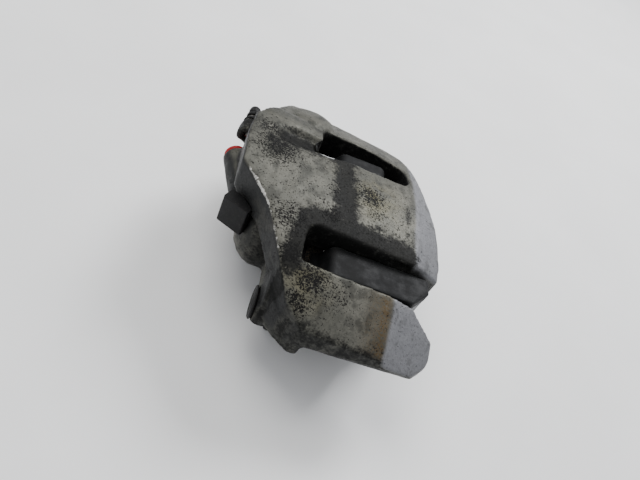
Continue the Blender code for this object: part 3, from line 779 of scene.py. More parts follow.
@dataclass(frozen=True)
class CastAlloyFinish:
    """Sand-cast aluminium after years of brake dust: stained skin, corrosion pits and rubbed edges, with painted
    shade in its corners, windows, undersides and on the sides turned from the light, and a lighter outboard tone
    that is partly painted light.
    """

    skin: Colour = colour(0.080, 0.079, 0.067)
    pale: Colour = colour(0.114, 0.111, 0.094)
    dull: Colour = colour(0.038, 0.038, 0.033)
    # Lighter tone of the outboard faces: cleaner metal, with painted light where they turn to the key light.
    clean: Colour = colour(0.180, 0.181, 0.190)
    # Painted shade for skin turned away from the key light.
    shaded_flank: Colour = colour(0.024, 0.0245, 0.0245)
    # Oily dirt, also used as painted shade in corners, windows, undersides and on sides turned from the light.
    soot_and_shade: Colour = colour(0.0030, 0.0031, 0.0027)
    pit: Colour = colour(0.0020, 0.0018, 0.0016)
    stain: Colour = colour(0.080, 0.053, 0.023)
    ochre: Colour = colour(0.098, 0.089, 0.052)
    bare: Colour = colour(0.62, 0.61, 0.57)

    def build(self) -> bpy.types.Material:
        """Lays stained, sooty, pitted and rubbed skins over each other by the casting's masks, with painted shade in
        the sooty and flank layers and painted light in the clean one.

        Returns:
            The material.
        """
        made, graph, shader = new_material(Slot.CAST_ALLOY)
        place = graph.place()
        clouds = graph.noise(place, 60.0, 6.0, 0.62)
        smudges = graph.noise(graph.stretch(place, (1.0, 0.6, 1.0)), 120.0, 5.0, 0.6)
        mottle = graph.noise(place, 760.0, 5.0, 0.68)
        skin = graph.mix(graph.ramp(clouds, 0.40, 0.62), self.skin, self.pale)
        skin = graph.mix(graph.ramp(smudges, 0.52, 0.36, 0.0, 0.75), skin, self.dull)
        skin = graph.mix(graph.ramp(mottle, 0.54, 0.38, 0.0, 0.30), skin, self.dull)
        clean = graph.mix(graph.ramp(mottle, 0.60, 0.34, 0.0, 0.22), self.clean, self.dull)
        clean = graph.mix(graph.ramp(smudges, 0.50, 0.34, 0.0, 0.50), clean, self.dull)
        ochre = graph.maths("MULTIPLY", graph.mask("ochre"), graph.ramp(clouds, 0.38, 0.60))
        skin = graph.mix(ochre, skin, self.ochre)
        # Lighter clean tone, partly painted light on faces turned to the key light.
        skin = graph.mix(graph.mask("clean"), skin, clean)
        stain = graph.maths("MULTIPLY", graph.mask("stain"), graph.ramp(mottle, 0.34, 0.58))
        skin = graph.mix(stain, skin, self.stain)
        # Painted shade on skin turned inboard and to the near side, away from the key light.
        shaded_flank = graph.maths("MULTIPLY", graph.mask("shaded_flank"), graph.ramp(clouds, 0.66, 0.50, 0.72, 1.0))
        skin = graph.mix(shaded_flank, skin, self.shaded_flank)
        # Oily dirt together with painted shade in corners, windows, undersides and on the sides turned from the
        # light.
        soot_and_shade = graph.group(Effects.grime_and_shade(), Place=place, Cover=graph.mask("soot_and_shade"), Grain=210.0).outputs["Mask"]
        skin = graph.mix(graph.maths("MULTIPLY", soot_and_shade, 0.93), skin, self.soot_and_shade)
        pits = graph.group(Effects.pitting(), Place=place, Spread=graph.mask("pits"), Grain=880.0).outputs["Mask"]
        skin = graph.mix(pits, skin, self.pit)
        rubbed = graph.group(Effects.edge_wear(), Place=place, Edge=graph.mask("edge"), Grain=260.0).outputs["Mask"]
        rubbed = graph.maths("MULTIPLY", rubbed, graph.ramp(pits, 0.6, 0.2))
        skin = graph.mix(graph.maths("MULTIPLY", rubbed, 0.75), skin, self.bare)
        graph.plug(shader.inputs["Base Color"], skin)
        shader.inputs["Specular IOR Level"].default_value = 0.12
        # Roughness and metal follow the dirt mask, which also holds painted shade.
        dirt_and_shade = graph.maths("MAXIMUM", soot_and_shade, pits, clamp=True)
        rough = graph.ramp(mottle, 0.3, 0.7, 0.44, 0.60)
        rough = graph.maths("ADD", rough, graph.maths("MULTIPLY", dirt_and_shade, 0.12))
        graph.plug(shader.inputs["Roughness"], graph.maths("SUBTRACT", rough, graph.maths("MULTIPLY", rubbed, 0.14)))
        graph.plug(shader.inputs["Metallic"], graph.ramp(dirt_and_shade, 0.2, 0.9, 0.46, 0.0))
        sand = graph.group(Effects.grain(), Place=place, Grain=900.0).outputs["Height"]
        normal = graph.bump(sand, 0.00013)
        depth = graph.maths("SUBTRACT", 1.0, pits)
        graph.plug(shader.inputs["Normal"], graph.bump(depth, 0.00030, normal))
        return made


@dataclass(frozen=True)
class CastIronFinish:
    """Dark coated iron with a faint satin light, clouds of dust and grey worn edges."""

    coat: Colour = colour(0.0034, 0.0037, 0.0040)
    dust: Colour = colour(0.0085, 0.0085, 0.0080)
    worn: Colour = colour(0.0230, 0.0235, 0.0240)

    def build(self) -> bpy.types.Material:
        """Dark coat with dusty clouds, worn edges and a sandy bump.

        Returns:
            The material.
        """
        made, graph, shader = new_material(Slot.CAST_IRON)
        place = graph.place()
        clouds = graph.noise(place, 130.0, 6.0, 0.65)
        skin = graph.mix(graph.ramp(clouds, 0.45, 0.75, 0.0, 0.75), self.coat, self.dust)
        worn = graph.group(Effects.edge_wear(), Place=place, Edge=graph.mask("edge"), Grain=300.0).outputs["Mask"]
        skin = graph.mix(graph.maths("MULTIPLY", worn, 0.6), skin, self.worn)
        graph.plug(shader.inputs["Base Color"], skin)
        shader.inputs["Specular IOR Level"].default_value = 0.16
        graph.plug(shader.inputs["Roughness"], graph.ramp(clouds, 0.3, 0.7, 0.54, 0.74))
        sand = graph.group(Effects.grain(), Place=place, Grain=1100.0).outputs["Height"]
        graph.plug(shader.inputs["Normal"], graph.bump(sand, 0.00012))
        return made


@dataclass(frozen=True)
class PlainFinish:
    """A finish of one material with clouds of a second tone, specks and a fine skin."""

    slot: Slot
    base: Colour
    second: Colour
    speck: Colour
    metallic: float
    roughness: tuple[float, float]
    grain: float
    relief: float
    specks: float = 0.1
    drawn: Point = (1.0, 1.0, 1.0)
    gloss: float = 0.22

    def build(self) -> bpy.types.Material:
        """Blends the two tones by clouds, adds specks, and roughens and embosses by the fine grain.

        Returns:
            The material.
        """
        made, graph, shader = new_material(self.slot)
        place = graph.stretch(graph.place(), self.drawn)
        clouds = graph.noise(place, self.grain * 0.2, 5.0, 0.6)
        fine = graph.noise(place, self.grain, 4.0, 0.65)
        skin = graph.mix(graph.ramp(clouds, 0.35, 0.68), self.base, self.second)
        dots = graph.group(Effects.pitting(), Place=place, Spread=self.specks, Grain=self.grain).outputs["Mask"]
        skin = graph.mix(dots, skin, self.speck)
        graph.plug(shader.inputs["Base Color"], skin)
        shader.inputs["Metallic"].default_value = self.metallic
        shader.inputs["Specular IOR Level"].default_value = self.gloss
        graph.plug(shader.inputs["Roughness"], graph.ramp(fine, 0.3, 0.7, *self.roughness))
        graph.plug(shader.inputs["Normal"], graph.bump(fine, self.relief))
        return made


class Finishes:
    """Every finish of the caliper, by slot."""

    def __init__(self) -> None:
        """Builds them all."""
        steel = PlainFinish(Slot.STEEL, colour(0.30, 0.29, 0.265), colour(0.19, 0.18, 0.16),
                            colour(0.06, 0.045, 0.03), 0.85, (0.28, 0.46), 700.0, 0.00004, 0.35)
        paint = PlainFinish(Slot.BACKING_PAINT, colour(0.014, 0.014, 0.015), colour(0.024, 0.023, 0.022),
                            colour(0.075, 0.045, 0.028), 0.1, (0.40, 0.58), 600.0, 0.00005, 0.25)
        lining = PlainFinish(Slot.FRICTION, colour(0.050, 0.046, 0.042), colour(0.085, 0.078, 0.070),
                             colour(0.20, 0.16, 0.11), 0.05, (0.78, 0.92), 900.0, 0.00012, 0.75)
        rubber = PlainFinish(Slot.RUBBER, colour(0.0042, 0.0042, 0.0044), colour(0.0090, 0.0088, 0.0084),
                             colour(0.040, 0.038, 0.034), 0.0, (0.50, 0.72), 800.0, 0.00004, 0.2)
        black = PlainFinish(Slot.BLACK_PLASTIC, colour(0.0032, 0.0032, 0.0036), colour(0.0060, 0.0060, 0.0064),
                            colour(0.035, 0.033, 0.030), 0.0, (0.42, 0.60), 1200.0, 0.00003, 0.15)
        red = PlainFinish(Slot.RED_PLASTIC, colour(0.42, 0.012, 0.014), colour(0.30, 0.010, 0.012),
                          colour(0.10, 0.012, 0.010), 0.0, (0.34, 0.48), 700.0, 0.00003, 0.2)
        plain = [steel, paint, lining, rubber, black, red]
        self.by_slot = {finish.slot: finish.build() for finish in plain}
        self.by_slot[Slot.CAST_ALLOY] = CastAlloyFinish().build()
        self.by_slot[Slot.CAST_IRON] = CastIronFinish().build()

    def give(self, piece: bpy.types.Object, slot: Slot, body: str, *nodes: str) -> None:
        """Finishes a piece, sets it on a body and hides the frame nodes it stands for.

        Args:
            piece: The piece.
            slot: Its finish.
            body: The body it moves with.
            nodes: The frame nodes that it replaces.
        """
        piece.data.materials.clear()
        piece.data.materials.append(self.by_slot[slot])
        if nodes:
            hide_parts(*nodes)
        if body:
            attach(piece, body)
        LOG.info("%s: %d faces", piece.name, len(piece.data.polygons))


class Part(Protocol):
    """Any sub-assembly that makes its own pieces."""

    def build(self, finishes: Finishes) -> None:
        """Makes the pieces and finishes them."""


# ---------------------------------------------------------------- castings


@dataclass
class Dent:
    """A smooth hollow pushed into a casting along its skin."""

    centre: Point
    reach: Point
    depth: float

    def push(self, points: np.ndarray) -> np.ndarray:
        """Depth at each point: full at the centre and level with the skin outside the ellipsoid of its reach."""
        gap = np.linalg.norm((points - np.array(self.centre)) / np.array(self.reach), axis=1)
        return self.depth * smoothstep(-gap, -1.0, -0.55)


@dataclass
class Casting:
    """A frame node turned into a cast skin: remeshed, its edges rounded, its face uneven."""

    node: str
    piece: str
    voxel: float
    rounding: int
    swell: float
    dents: Sequence[Dent] = ()
    edge_rounds: int = 9
    slow_cell: float = 0.0065
    quick_cell: float = 0.0026
    quick_share: float = 0.45
    full_edge: float = 0.42

    def build(self) -> tuple[bpy.types.Object, Skin]:
        """Remeshes a merged copy, rounds it by relaxing and lays slow and quick unevenness on it.

        Returns:
            The casting and its skin. The masks "edge" and "corner" hold how far each point stood proud of the
            smoothed surface or sank below it before rounding, full at the share full_edge of a voxel.
        """
        made = merged_copy(self.node, self.piece)
        remesh = made.modifiers.new("even skin", "REMESH")
        remesh.mode = "VOXEL"
        remesh.voxel_size = self.voxel
        remesh.use_smooth_shade = True
        graph = bpy.context.evaluated_depsgraph_get()
        mesh = bpy.data.meshes.new_from_object(made.evaluated_get(graph))
        old = made.data
        made.modifiers.clear()
        made.data = mesh
        bpy.data.meshes.remove(old)
        mesh.name = self.piece
        skin = Skin.of(mesh)
        proud = skin.sharpness(self.edge_rounds) / (self.voxel * self.full_edge)
        points = skin.relaxed(self.rounding)
        lift = lattice_noise(points, self.slow_cell, 3) * self.swell
        lift += lattice_noise(points, self.quick_cell, 5) * self.swell * self.quick_share
        for dent in self.dents:
            lift -= dent.push(points)
        points += lift[:, None] * skin.normals
        mesh.vertices.foreach_set("co", points.astype(np.float32).ravel())
        mesh.update()
        mesh.shade_smooth()
        set_mask(mesh, "edge", np.clip(proud, 0.0, 1.0))
        set_mask(mesh, "corner", np.clip(-proud, 0.0, 1.0))
        return made, Skin.of(mesh)


@dataclass
class Zones:
    """How far, from 0 to 1, each point of the housing belongs to each part of its skin, and a slow noise."""

    drift: np.ndarray
    top: np.ndarray
    clean: np.ndarray
    shaded_flank: np.ndarray
    side: np.ndarray
    hidden: np.ndarray


@dataclass
class Housing:
    """The cast aluminium bridge with its fingers and cylinder."""

    voxel: float = 0.00115
    rounding: int = 3
    swell: float = 0.00016
    outboard_fold: float = 0.0690
    near_fold: float = 0.0590
    arm_limit: float = -0.0570
    # Dirt patches; the spot on the small hole paints shade into it.
    soot_and_shade: tuple[Patch, ...] = (
        Patch((0.0160, 0.0320, 0.068), (0.0215, -0.0240, 0.068), 0.0090, 1.15),
        Patch((-0.0200, 0.0340, 0.070), (0.0140, 0.0350, 0.067), 0.0125, 1.25),
        Patch((-0.0330, 0.0220, 0.071), (0.0040, 0.0280, 0.069), 0.0085, 0.62),
        Patch((0.0040, -0.0290, 0.067), (0.0640, -0.0290, 0.064), 0.0095, 1.30),
        Patch((0.0120, -0.0240, 0.067), (0.0420, -0.0200, 0.066), 0.0080, 0.62),
        Patch((-0.0010, -0.0300, 0.067), (-0.0060, -0.0620, 0.062), 0.0080, 1.10),
        Patch((0.0050, -0.0890, 0.049), (0.0560, -0.0930, 0.043), 0.0050, 0.70),
        Patch((-0.0350, -0.0300, 0.069), (-0.0100, -0.0900, 0.050), 0.0040, 0.62),
        Patch((0.0630, 0.0100, 0.066), (0.0640, -0.0240, 0.064), 0.0035, 0.45),
        Patch((0.0060, 0.0760, 0.052), (0.0600, 0.0740, 0.048), 0.0060, 0.50),
        spot((-0.0010, -0.0900, 0.050), 0.0120, 0.85),
        # Painted shade inside the small hole.
        spot((0.0828, -0.0095, 0.0628), 0.0030, 1.30),
        spot((-0.0475, 0.0480, 0.0520), 0.0130, 1.10),
        spot((0.0400, 0.0030, 0.0670), 0.0080, 0.50),
    )
    # Patches cut out of the dirt and the painted shade alike.
    soot_and_shade_cuts: tuple[Patch, ...] = (
        spot((-0.0430, -0.0380, 0.0350), 0.0200, 0.42),
        spot((-0.0300, -0.0700, 0.0350), 0.0140, 0.30),
        Patch((-0.0350, 0.0520, 0.0680), (0.0050, 0.0620, 0.0620), 0.0090, 0.25),
    )
    burr: tuple[Patch, ...] = (
        Patch((-0.0420, 0.0080, 0.0720), (-0.0280, -0.0350, 0.0690), 0.0085, 1.0),
        Patch((-0.0280, -0.0350, 0.0690), (-0.0160, -0.0600, 0.0630), 0.0085, 0.8),
        Patch((-0.0160, -0.0600, 0.0630), (-0.0020, -0.0860, 0.0500), 0.0070, 0.55),
        Patch((0.0700, -0.0290, 0.0620), (0.0700, 0.0300, 0.0620), 0.0050, 0.30),
    )
    pits: tuple[Patch, ...] = (
        spot((-0.0272, 0.0146, 0.073), 0.0180, 1.00),
        spot((-0.0350, 0.0300, 0.072), 0.0130, 0.85),
        spot((0.0366, 0.0067, 0.068), 0.0115, 1.00),
        spot((0.0420, -0.0050, 0.067), 0.0080, 0.70),
        spot((0.0118, -0.0021, 0.070), 0.0070, 0.70),
        spot((0.0121, -0.0213, 0.069), 0.0075, 0.85),
        spot((-0.0124, -0.0359, 0.069), 0.0120, 0.85),
        spot((-0.0072, -0.0569, 0.064), 0.0085, 1.00),
        spot((0.0089, -0.0658, 0.059), 0.0125, 1.00),
        spot((0.0033, -0.0802, 0.054), 0.0105, 1.00),
        spot((0.0230, -0.0700, 0.057), 0.0110, 0.55),
        spot((0.0240, 0.0180, 0.068), 0.0120, 0.40),
    )
    stain: tuple[Patch, ...] = (
        Patch((0.0545, -0.0620, 0.0570), (0.0560, -0.0940, 0.0440), 0.0042, 0.85),
        Patch((0.0500, -0.0640, 0.0570), (0.0510, -0.0900, 0.0460), 0.0070, 0.40),
    )
    ochre: tuple[Patch, ...] = (
        spot((0.0380, 0.0080, 0.068), 0.0160, 0.90),
        spot((0.0060, -0.0700, 0.058), 0.0150, 0.65),
        spot((0.0200, 0.0160, 0.068), 0.0100, 0.40),
    )

    dents: tuple[Dent, ...] = (
        Dent((0.0828, -0.0095, 0.0628), (0.0026, 0.0026, 0.0040), 0.0022),
        Dent((0.0600, -0.0345, 0.0570), (0.0100, 0.0035, 0.0050), 0.0018),
        Dent((-0.0060, 0.0370, 0.0690), (0.0280, 0.0110, 0.0200), 0.0042),
        Dent((-0.0240, 0.0560, 0.0680), (0.0260, 0.0110, 0.0200), -0.0012),
        Dent((-0.0420, -0.0360, 0.0400), (0.0140, 0.0110, 0.0120), 0.0012),
        Dent((-0.0220, 0.0300, 0.0710), (0.0200, 0.0090, 0.0200), 0.0014),
        Dent((0.0200, 0.0050, 0.0680), (0.0090, 0.0300, 0.0200), 0.0006),
    )

    def build(self, finishes: Finishes) -> None:
        """Makes the housing's skin and its masks.

        The top of the bridge is stained in patches, the faces outboard of the folds are cleaner and carry painted
        light where they turn to the key light, and skin that looks inboard, along the rim or down carries painted
        shade.

        Args:
            finishes: The caliper's finishes.
        """
        casting = Casting("caliper_housing", "housing_casting", self.voxel, self.rounding, self.swell, self.dents)
        made, skin = casting.build()
        mesh, points, zones = made.data, skin.points, self._zones(skin)
        pits = np.maximum(strongest(self.pits, points), 0.16 + 0.10 * zones.drift)
        masks = {
            "pits": pits * (0.25 + 0.75 * zones.top) * (1.0 - 0.75 * zones.clean),
            "stain": strongest(self.stain, points) * zones.top * (1.0 - zones.clean),
            "ochre": strongest(self.ochre, points) * zones.top * (1.0 - zones.clean),
            "edge": mask_values(mesh, "edge") * strongest(self.burr, points, least=0.12),
            # Oily dirt and painted shade.
            "soot_and_shade": self._soot_and_shade(skin, zones, mask_values(mesh, "corner")),
            # Cleaner outboard faces, partly painted light.
            "clean": zones.clean,
            # Painted shade on skin turned inboard and to the near side.
            "shaded_flank": np.maximum(zones.shaded_flank, zones.side * 0.6),
        }
        for name, values in masks.items():
            set_mask(mesh, name, np.clip(values, 0.0, 1.0))
        finishes.give(made, Slot.CAST_ALLOY, "caliper", "caliper_housing")

    def _zones(self, skin: Skin) -> Zones:
        """Sorts the skin by where it looks and by the side of the folds that it is on.

        The folds run at one distance along the disc's axis, and at a smaller one on the near arm. A slow noise
        moves them to and fro.

        Args:
            skin: The casting's skin.

        Returns:
            The zones.
        """
        points, normals = skin.points, skin.normals
        up = normals[:, 2]
        drift = lattice_noise(points, 0.009, 11)
        fold = np.where(points[:, 1] < self.arm_limit, self.near_fold, self.outboard_fold)
        clean = smoothstep(points[:, 0] - fold + drift * 0.0010, -0.0012, 0.0014) * smoothstep(up, -0.2, 0.3)
        # Faces turned outboard, towards the key light, join the clean tone as painted light.
        outboard = smoothstep(normals[:, 0], 0.45, 0.75) * smoothstep(points[:, 0], 0.074, 0.078)
        clean = np.maximum(clean, outboard * 0.85)
        return Zones(
            drift=drift,
            top=smoothstep(up, 0.55, 0.85),
            clean=clean,
            # Painted shade on skin turned inboard, away from the key light.
            shaded_flank=smoothstep(-normals[:, 0], 0.45, 0.75) * smoothstep(points[:, 2], 0.020, 0.030),
            # Skin turned to the near side, away from the key light, for painted shade.
            side=smoothstep(-normals[:, 1], 0.55, 0.85) * (1.0 - clean),
            # Undersides, for painted shade.
            hidden=smoothstep(-up, 0.15, 0.6) * (1.0 - outboard),
        )

    def _soot_and_shade(self, skin: Skin, zones: Zones, corner: np.ndarray) -> np.ndarray:
        """Oily dirt and painted shade: the strongest of the dirt patches, painted shade in corners, on sides turned
        from the light, on undersides and on the window walls, and walls that darken towards the bottom, less the
        patches cut out of both.

        Args:
            skin: The casting's skin.
            zones: The skin's zones.
            corner: How deep each point lies in a corner, from 0 to 1.

        Returns:
            Cover at each point, which may pass 0 and 1.
        """
        points, off_clean_zone = skin.points, 1.0 - zones.clean
        soot_and_shade = strongest(self.soot_and_shade, points)
        # Painted shade in corners.
        soot_and_shade = np.maximum(soot_and_shade * (0.45 + 0.55 * zones.top), corner * 0.55)
        # Painted shade on skin turned to the near side and on undersides.
        soot_and_shade = np.maximum(soot_and_shade, np.maximum(zones.side * 0.62, zones.hidden * 0.55))
        # The walls darken towards the bottom.
        walls = (1.0 - zones.top) * off_clean_zone * smoothstep(-points[:, 2], -0.0640, -0.0560)
        soot_and_shade = np.maximum(soot_and_shade, walls * 0.42)
        # Painted shade on the window walls.
        inside = (np.abs(skin.normals[:, 2]) < 0.6) & (points[:, 0] > -0.010) & (np.abs(points[:, 1]) < 0.075)
        soot_and_shade = np.maximum(soot_and_shade, inside * off_clean_zone * 0.80)
        soot_and_shade = soot_and_shade + 0.10 * zones.drift
        # Cuts back the dirt and the painted shade alike.
        for patch in self.soot_and_shade_cuts:
            soot_and_shade = soot_and_shade - patch.weight(points)
        return soot_and_shade


@dataclass
class Bracket:
    """The iron bracket over the disc, with its two guide pins."""

    voxel: float = 0.00105
    rounding: int = 2
    swell: float = 0.00014

    def build(self, finishes: Finishes) -> None:
        """Makes the bracket's skin and the guide pins.

        Args:
            finishes: The caliper's finishes.
        """
        made, _ = Casting("carrier_bracket", "bracket_casting", self.voxel, self.rounding, self.swell).build()
        finishes.give(made, Slot.CAST_IRON, "carrier", "carrier_bracket")
        for side in ("near", "far"):
            node = "guide_pin_" + side
            pin = softened(node, "pin_" + side, 0.00025)
            finishes.give(pin, Slot.STEEL, "carrier", node)


# ---------------------------------------------------------------- guides, bleeder, inlet and plug holder


@dataclass
class Guides:
    """The rubber bushes and their dust caps."""

    ribs: int = 3

    def build(self, finishes: Finishes) -> None:
        """Makes a ringed cap and a soft-edged bush on each side.

        The cap's face carries round ribs: its height swells with the cosine of the distance from its middle.

        Args:
            finishes: The caliper's finishes.
        """
        for side in ("near", "far"):
            low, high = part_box("bush_cap_" + side)
            middle = (low + high) / 2
            radius = (high.y - low.y) / 2
            long = high.x - low.x
            face = np.linspace(0.0, radius - 0.0012, 30)
            swell = 0.00022 * np.cos(face / (radius - 0.0012) * 2 * math.pi * self.ribs)
            crown = np.stack([face, long - 0.0006 + swell - 0.0004 * (face / radius) ** 2], axis=1)
            skirt = eased(np.array([
                (radius - 0.0008, long - 0.0007), (radius, long - 0.0013), (radius, long - 0.0020),
                (radius - 0.0016, long - 0.0022), (radius - 0.0016, 0.0), (0.0, 0.0)]), 0.0004)
            profile = np.concatenate([crown, skirt])
            cap = revolve("cap_" + side, profile, (high.x, middle.y, middle.z), (-1, 0, 0))
            finishes.give(cap, Slot.RUBBER, "caliper", "bush_cap_" + side)
            bush = softened("guide_bush_" + side, "bush_" + side, 0.0003)
            finishes.give(bush, Slot.RUBBER, "caliper", "guide_bush_" + side)


@dataclass
class Bleeder:
    """The bleed screw, its ribbed rubber cap and the cap's strap."""

    axis: Point = (0.0, 1.0, 0.0)
    face: Point = (-0.0475, 0.0525, 0.0520)
    across: float = 0.0045
    shank: float = 0.0034
    nipple: float = 0.0026
    segments: int = 72
    grip_ribs: int = 14

    def build(self, finishes: Finishes) -> None:
        """Makes the screw with its hexagon and drilled nipple, the cap and the strap.

        Args:
            finishes: The caliper's finishes.
        """
        across, nipple = self.across, self.nipple
        outline = np.array([
            (0.0, -0.0130), (0.0012, -0.0130), (self.shank, -0.0100), (self.shank, 0.0011),
            (across - 0.0004, 0.0012), (across, 0.0015), (across, 0.0047), (across - 0.0005, 0.0051),
            (nipple, 0.0056), (nipple, 0.0110), (nipple + 0.0006, 0.0120), (nipple + 0.0006, 0.0133),
            (nipple - 0.0008, 0.0160), (0.0010, 0.0160), (0.0009, 0.0100), (0.0, 0.0100)])
        profile = eased(outline, 0.00018)
        flats = (profile[:, 1] > 0.00135) & (profile[:, 1] < 0.0049) & (profile[:, 0] > nipple + 0.0008)
        section = hexagon(flats, self.segments)
        screw = revolve("bleed_screw_hexagon", profile, self.face, self.axis, self.segments, section=section)
        finishes.give(screw, Slot.STEEL, "bleed_screw", "bleed_screw")
        cap = revolve("bleed_cap_ribbed", *self._cap(self.segments * 2))
        finishes.give(cap, Slot.RUBBER, "bleed_cap", "bleed_cap")
        strap = softened("cap_strap", "bleed_cap_strap", 0.0003, 3)
        finishes.give(strap, Slot.RUBBER, "caliper", "cap_strap")

    def _cap(self, segments: int) -> tuple:
        """The cap's profile and its grip ribs, which swell the barrel evenly round it.

        Args:
            segments: Steps round the axis.

        Returns:
            The arguments of revolve() after the name.
        """
        inner = self.nipple + 0.0009
        outline = np.array([
            (0.0, 0.0166), (self.nipple - 0.0004, 0.0166), (inner, 0.0136), (inner, 0.0064),
            (0.0046, 0.0064), (0.0047, 0.0070), (0.0047, 0.0088), (0.0042, 0.0094), (0.0036, 0.0100),
            (0.0035, 0.0110), (0.0041, 0.0116), (0.0041, 0.0150), (0.0037, 0.0164), (0.0024, 0.0183),
            (0.0011, 0.0188), (0.0, 0.0188)])
        profile = eased(outline, 0.00035, steps=5)
        u = np.linspace(0.0, 2 * math.pi, segments, endpoint=False)
        ribs = 1.0 - 0.05 * (0.5 + 0.5 * np.cos(self.grip_ribs * u))[None, :]
        barrel = (profile[:, 1] > 0.0114) & (profile[:, 1] < 0.0165) & (profile[:, 0] > 0.0036)
        section = np.where(barrel[:, None], ribs, 1.0)
        return profile, self.face, self.axis, segments, False, section


@dataclass
class HoseInlet:
    """The red plug in the brake hose's port."""

    mouth: Point = (-0.0502, 0.0305, 0.0400)
    axis: Point = (-0.3763, 0.9265, 0.0)
    hole: float = 0.0047

    def build(self, finishes: Finishes) -> None:
        """Makes a dished head with a raised rim on a ringed stem.

        Args:
            finishes: The caliper's finishes.
        """
        stem = np.linspace(-0.0066, -0.0004, 26)
        rings = self.hole - 0.00035 * (0.5 - 0.5 * np.cos((stem + 0.0004) / 0.0062 * 2 * math.pi * 4))
        start = np.array([(0.0, -0.0080), (self.hole - 0.0011, -0.0080), (self.hole - 0.0004, -0.0070)])
        head = eased(np.array([
            (self.hole, 0.0003), (0.0069, 0.0003), (0.0073, 0.0010), (0.0073, 0.0022), (0.0069, 0.0030),
            (0.0060, 0.0032), (0.0056, 0.0026), (0.0053, 0.0014), (0.0020, 0.0013), (0.0016, 0.0022),
            (0.0008, 0.0025), (0.0, 0.0025)]), 0.0003)
        profile = np.concatenate([start, np.stack([rings, stem], axis=1), head])
        plug = revolve("hose_port_plug", profile, self.mouth, self.axis)
        finishes.give(plug, Slot.RED_PLASTIC, "inlet_plug", "inlet_plug")


@dataclass
class PlugHolder:
    """The black block that holds the wear sensor's plug."""

    rounding: float = 0.0007

    def build(self, finishes: Finishes) -> None:
        """Rounds the block and its socket.

        Args:
            finishes: The caliper's finishes.
        """
        block = softened("sensor_plug_holder", "plug_holder_block", self.rounding, 3)
        finishes.give(block, Slot.BLACK_PLASTIC, "caliper", "sensor_plug_holder")


# ---------------------------------------------------------------- piston and pads


@dataclass
class PistonSet:
    """The piston with its seal and its folded dust boot."""

    radius: float = 0.0267
    face: Point = (-0.0040, 0.0, 0.0280)
    boot_wall: float = 0.00055
    folds: tuple[tuple[float, float], ...] = (
        (0.0298, -0.0025), (0.0298, -0.0005), (0.0294, 0.0014), (0.0288, 0.0014), (0.0284, -0.0007),
        (0.0278, -0.0007), (0.0275, 0.0011), (0.0266, 0.0015), (0.0257, 0.0015))

    def build(self, finishes: Finishes) -> None:
        """Makes the three pieces about the cylinder's axis.

        Args:
            finishes: The caliper's finishes.
        """
        piston = softened("piston", "piston_cup", 0.0003, 2)
        finishes.give(piston, Slot.STEEL, "piston", "piston")
        seal = softened("piston_seal", "piston_seal_ring", 0.00025, 2)
        finishes.give(seal, Slot.RUBBER, "caliper", "piston_seal")
        middle = eased(np.array(self.folds), 0.0006, steps=6)
        boot = revolve("dust_boot_folds", ribbon(middle, self.boot_wall), self.face, (1, 0, 0), 120, closed=True)
        finishes.give(boot, Slot.RUBBER, "", "dust_boot")
        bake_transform(boot)


@dataclass
class Pads:
    """Both brake pads, with the clip that ties the inboard one to the piston."""

    rounding: float = 0.0004

    def build(self, finishes: Finishes) -> None:
        """Softens each plate and lining.

        Args:
            finishes: The caliper's finishes.
        """
        for side in ("inner", "outer"):
            body = side + "_pad"
            kinds = {"backing": Slot.BACKING_PAINT, "lining": Slot.FRICTION, "shim": Slot.STEEL}
            for kind, slot in kinds.items():
                node = f"{body}_{kind}"
                width = 0.00015 if kind == "shim" else self.rounding
                plate = softened(node, f"{side}_{kind}_plate", width)
                finishes.give(plate, slot, body, node)
        clip = softened("piston_clip", "piston_clip_spring", 0.0002)
        finishes.give(clip, Slot.STEEL, "inner_pad", "piston_clip")


# ---------------------------------------------------------------- studio


@dataclass
class Lamp:
    """One soft square light."""

    name: str
    place: Point
    size: float
    power: float
    tint: Point = (1.0, 1.0, 1.0)

    def build(self, target: Point) -> None:
        """Hangs the light and turns it to the target.

        Args:
            target: Where the light looks.
        """
        data = bpy.data.lights.new(self.name, "AREA")
        data.shape = "SQUARE"
        data.size = self.size
        data.energy = self.power
        data.color = self.tint
        made = bpy.data.objects.new(self.name, data)
        made.location = self.place
        made.rotation_euler = (Vector(target) - Vector(self.place)).to_track_quat("-Z", "Y").to_euler()
        bpy.context.scene.collection.objects.link(made)


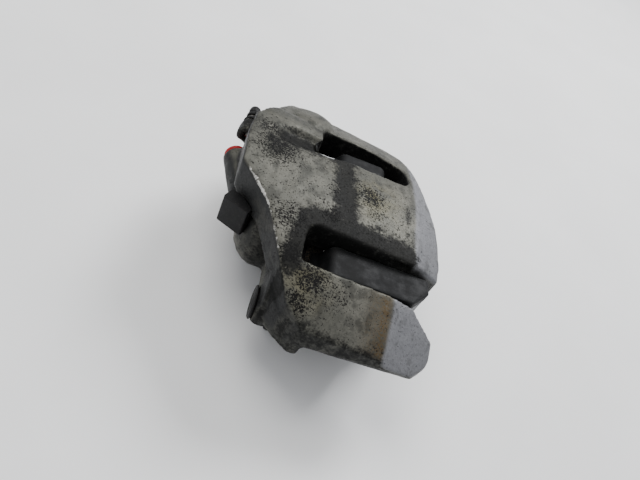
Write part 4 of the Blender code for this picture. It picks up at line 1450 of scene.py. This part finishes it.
@dataclass
class Studio:
    """A pale floor, soft lights and the camera."""

    floor_height: float = -0.0124
    floor_span: float = 6.0
    lens: float = 31.24
    eye: Point = (-0.0497, -0.2533, 0.2837)
    right: Point = (0.928, 0.111, 0.355)
    down: Point = (0.321, -0.721, -0.614)
    lamps: tuple[Lamp, ...] = (
        Lamp("key", (0.70, 0.95, 1.15), 0.55, 26.0, (0.97, 0.98, 1.0)),
        Lamp("top", (-0.35, 0.45, 1.30), 0.9, 12.0, (1.0, 0.99, 0.97)),
        Lamp("fill", (-0.80, -0.60, 0.55), 1.2, 1.6, (1.0, 1.0, 1.0)),
    )

    def build(self) -> None:
        """Lays the floor and sets the lights, the sky and the camera."""
        half = self.floor_span / 2
        corners = np.array([(-half, -half), (half, -half), (half, half), (-half, half)])
        points = np.column_stack([corners, np.full(4, self.floor_height)])
        floor = surface("floor", points, np.array([[0, 1, 2, 3]]))
        floor.data.materials.append(self._floor_finish())
        floor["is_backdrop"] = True
        for lamp in self.lamps:
            lamp.build((0.01, 0.0, 0.03))
        world = bpy.data.worlds.new("soft sky")
        world.use_nodes = True
        sky = world.node_tree.nodes["Background"]
        sky.inputs["Color"].default_value = (0.93, 0.95, 1.0, 1.0)
        sky.inputs["Strength"].default_value = 0.66
        bpy.context.scene.world = world
        self._camera()

    def _floor_finish(self) -> bpy.types.Material:
        """A pale matt board with very faint clouds.

        Returns:
            The material.
        """
        made = bpy.data.materials.new("finish_floor")
        made.use_nodes = True
        graph = Graph(made.node_tree)
        shader = made.node_tree.nodes["Principled BSDF"]
        clouds = graph.noise(graph.place(), 9.0, 4.0)
        tone = graph.mix(graph.ramp(clouds, 0.3, 0.7), colour(0.84, 0.84, 0.83), colour(0.88, 0.88, 0.87))
        graph.plug(shader.inputs["Base Color"], tone)
        shader.inputs["Roughness"].default_value = 0.7
        return made

    def _camera(self) -> None:
        """Stands the camera at its eye, with the right and down directions of its view as given."""
        right = Vector(self.right).normalized()
        down = Vector(self.down)
        down = (down - right * down.dot(right)).normalized()
        back = right.cross(-down)
        turn = Matrix((right, -down, back)).transposed()
        data = bpy.data.cameras.new("camera")
        data.lens = self.lens
        data.sensor_width = 36.0
        data.clip_start = 0.01
        data.clip_end = 20.0
        made = bpy.data.objects.new("camera", data)
        made.matrix_world = Matrix.Translation(Vector(self.eye)) @ turn.to_4x4()
        bpy.context.scene.collection.objects.link(made)
        bpy.context.scene.camera = made


def main() -> None:
    """Builds the caliper from its castings to its small parts, and the studio round it."""
    logging.basicConfig(level=logging.INFO, format="%(message)s")
    cad_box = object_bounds()
    finishes = Finishes()
    parts: Sequence[Part] = (
        Housing(), Bracket(), Guides(), Bleeder(), HoseInlet(), PlugHolder(), PistonSet(), Pads())
    for part in parts:
        part.build(finishes)
    Studio().build()
    seen_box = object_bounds()
    sizes = {"cad": [list(corner) for corner in cad_box], "seen": [list(corner) for corner in seen_box]}
    for name, (low, high) in sizes.items():
        LOG.info("%s box: %s", name, [round((b - a) * 1000, 1) for a, b in zip(low, high)])


if __name__ == "__main__":
    main()
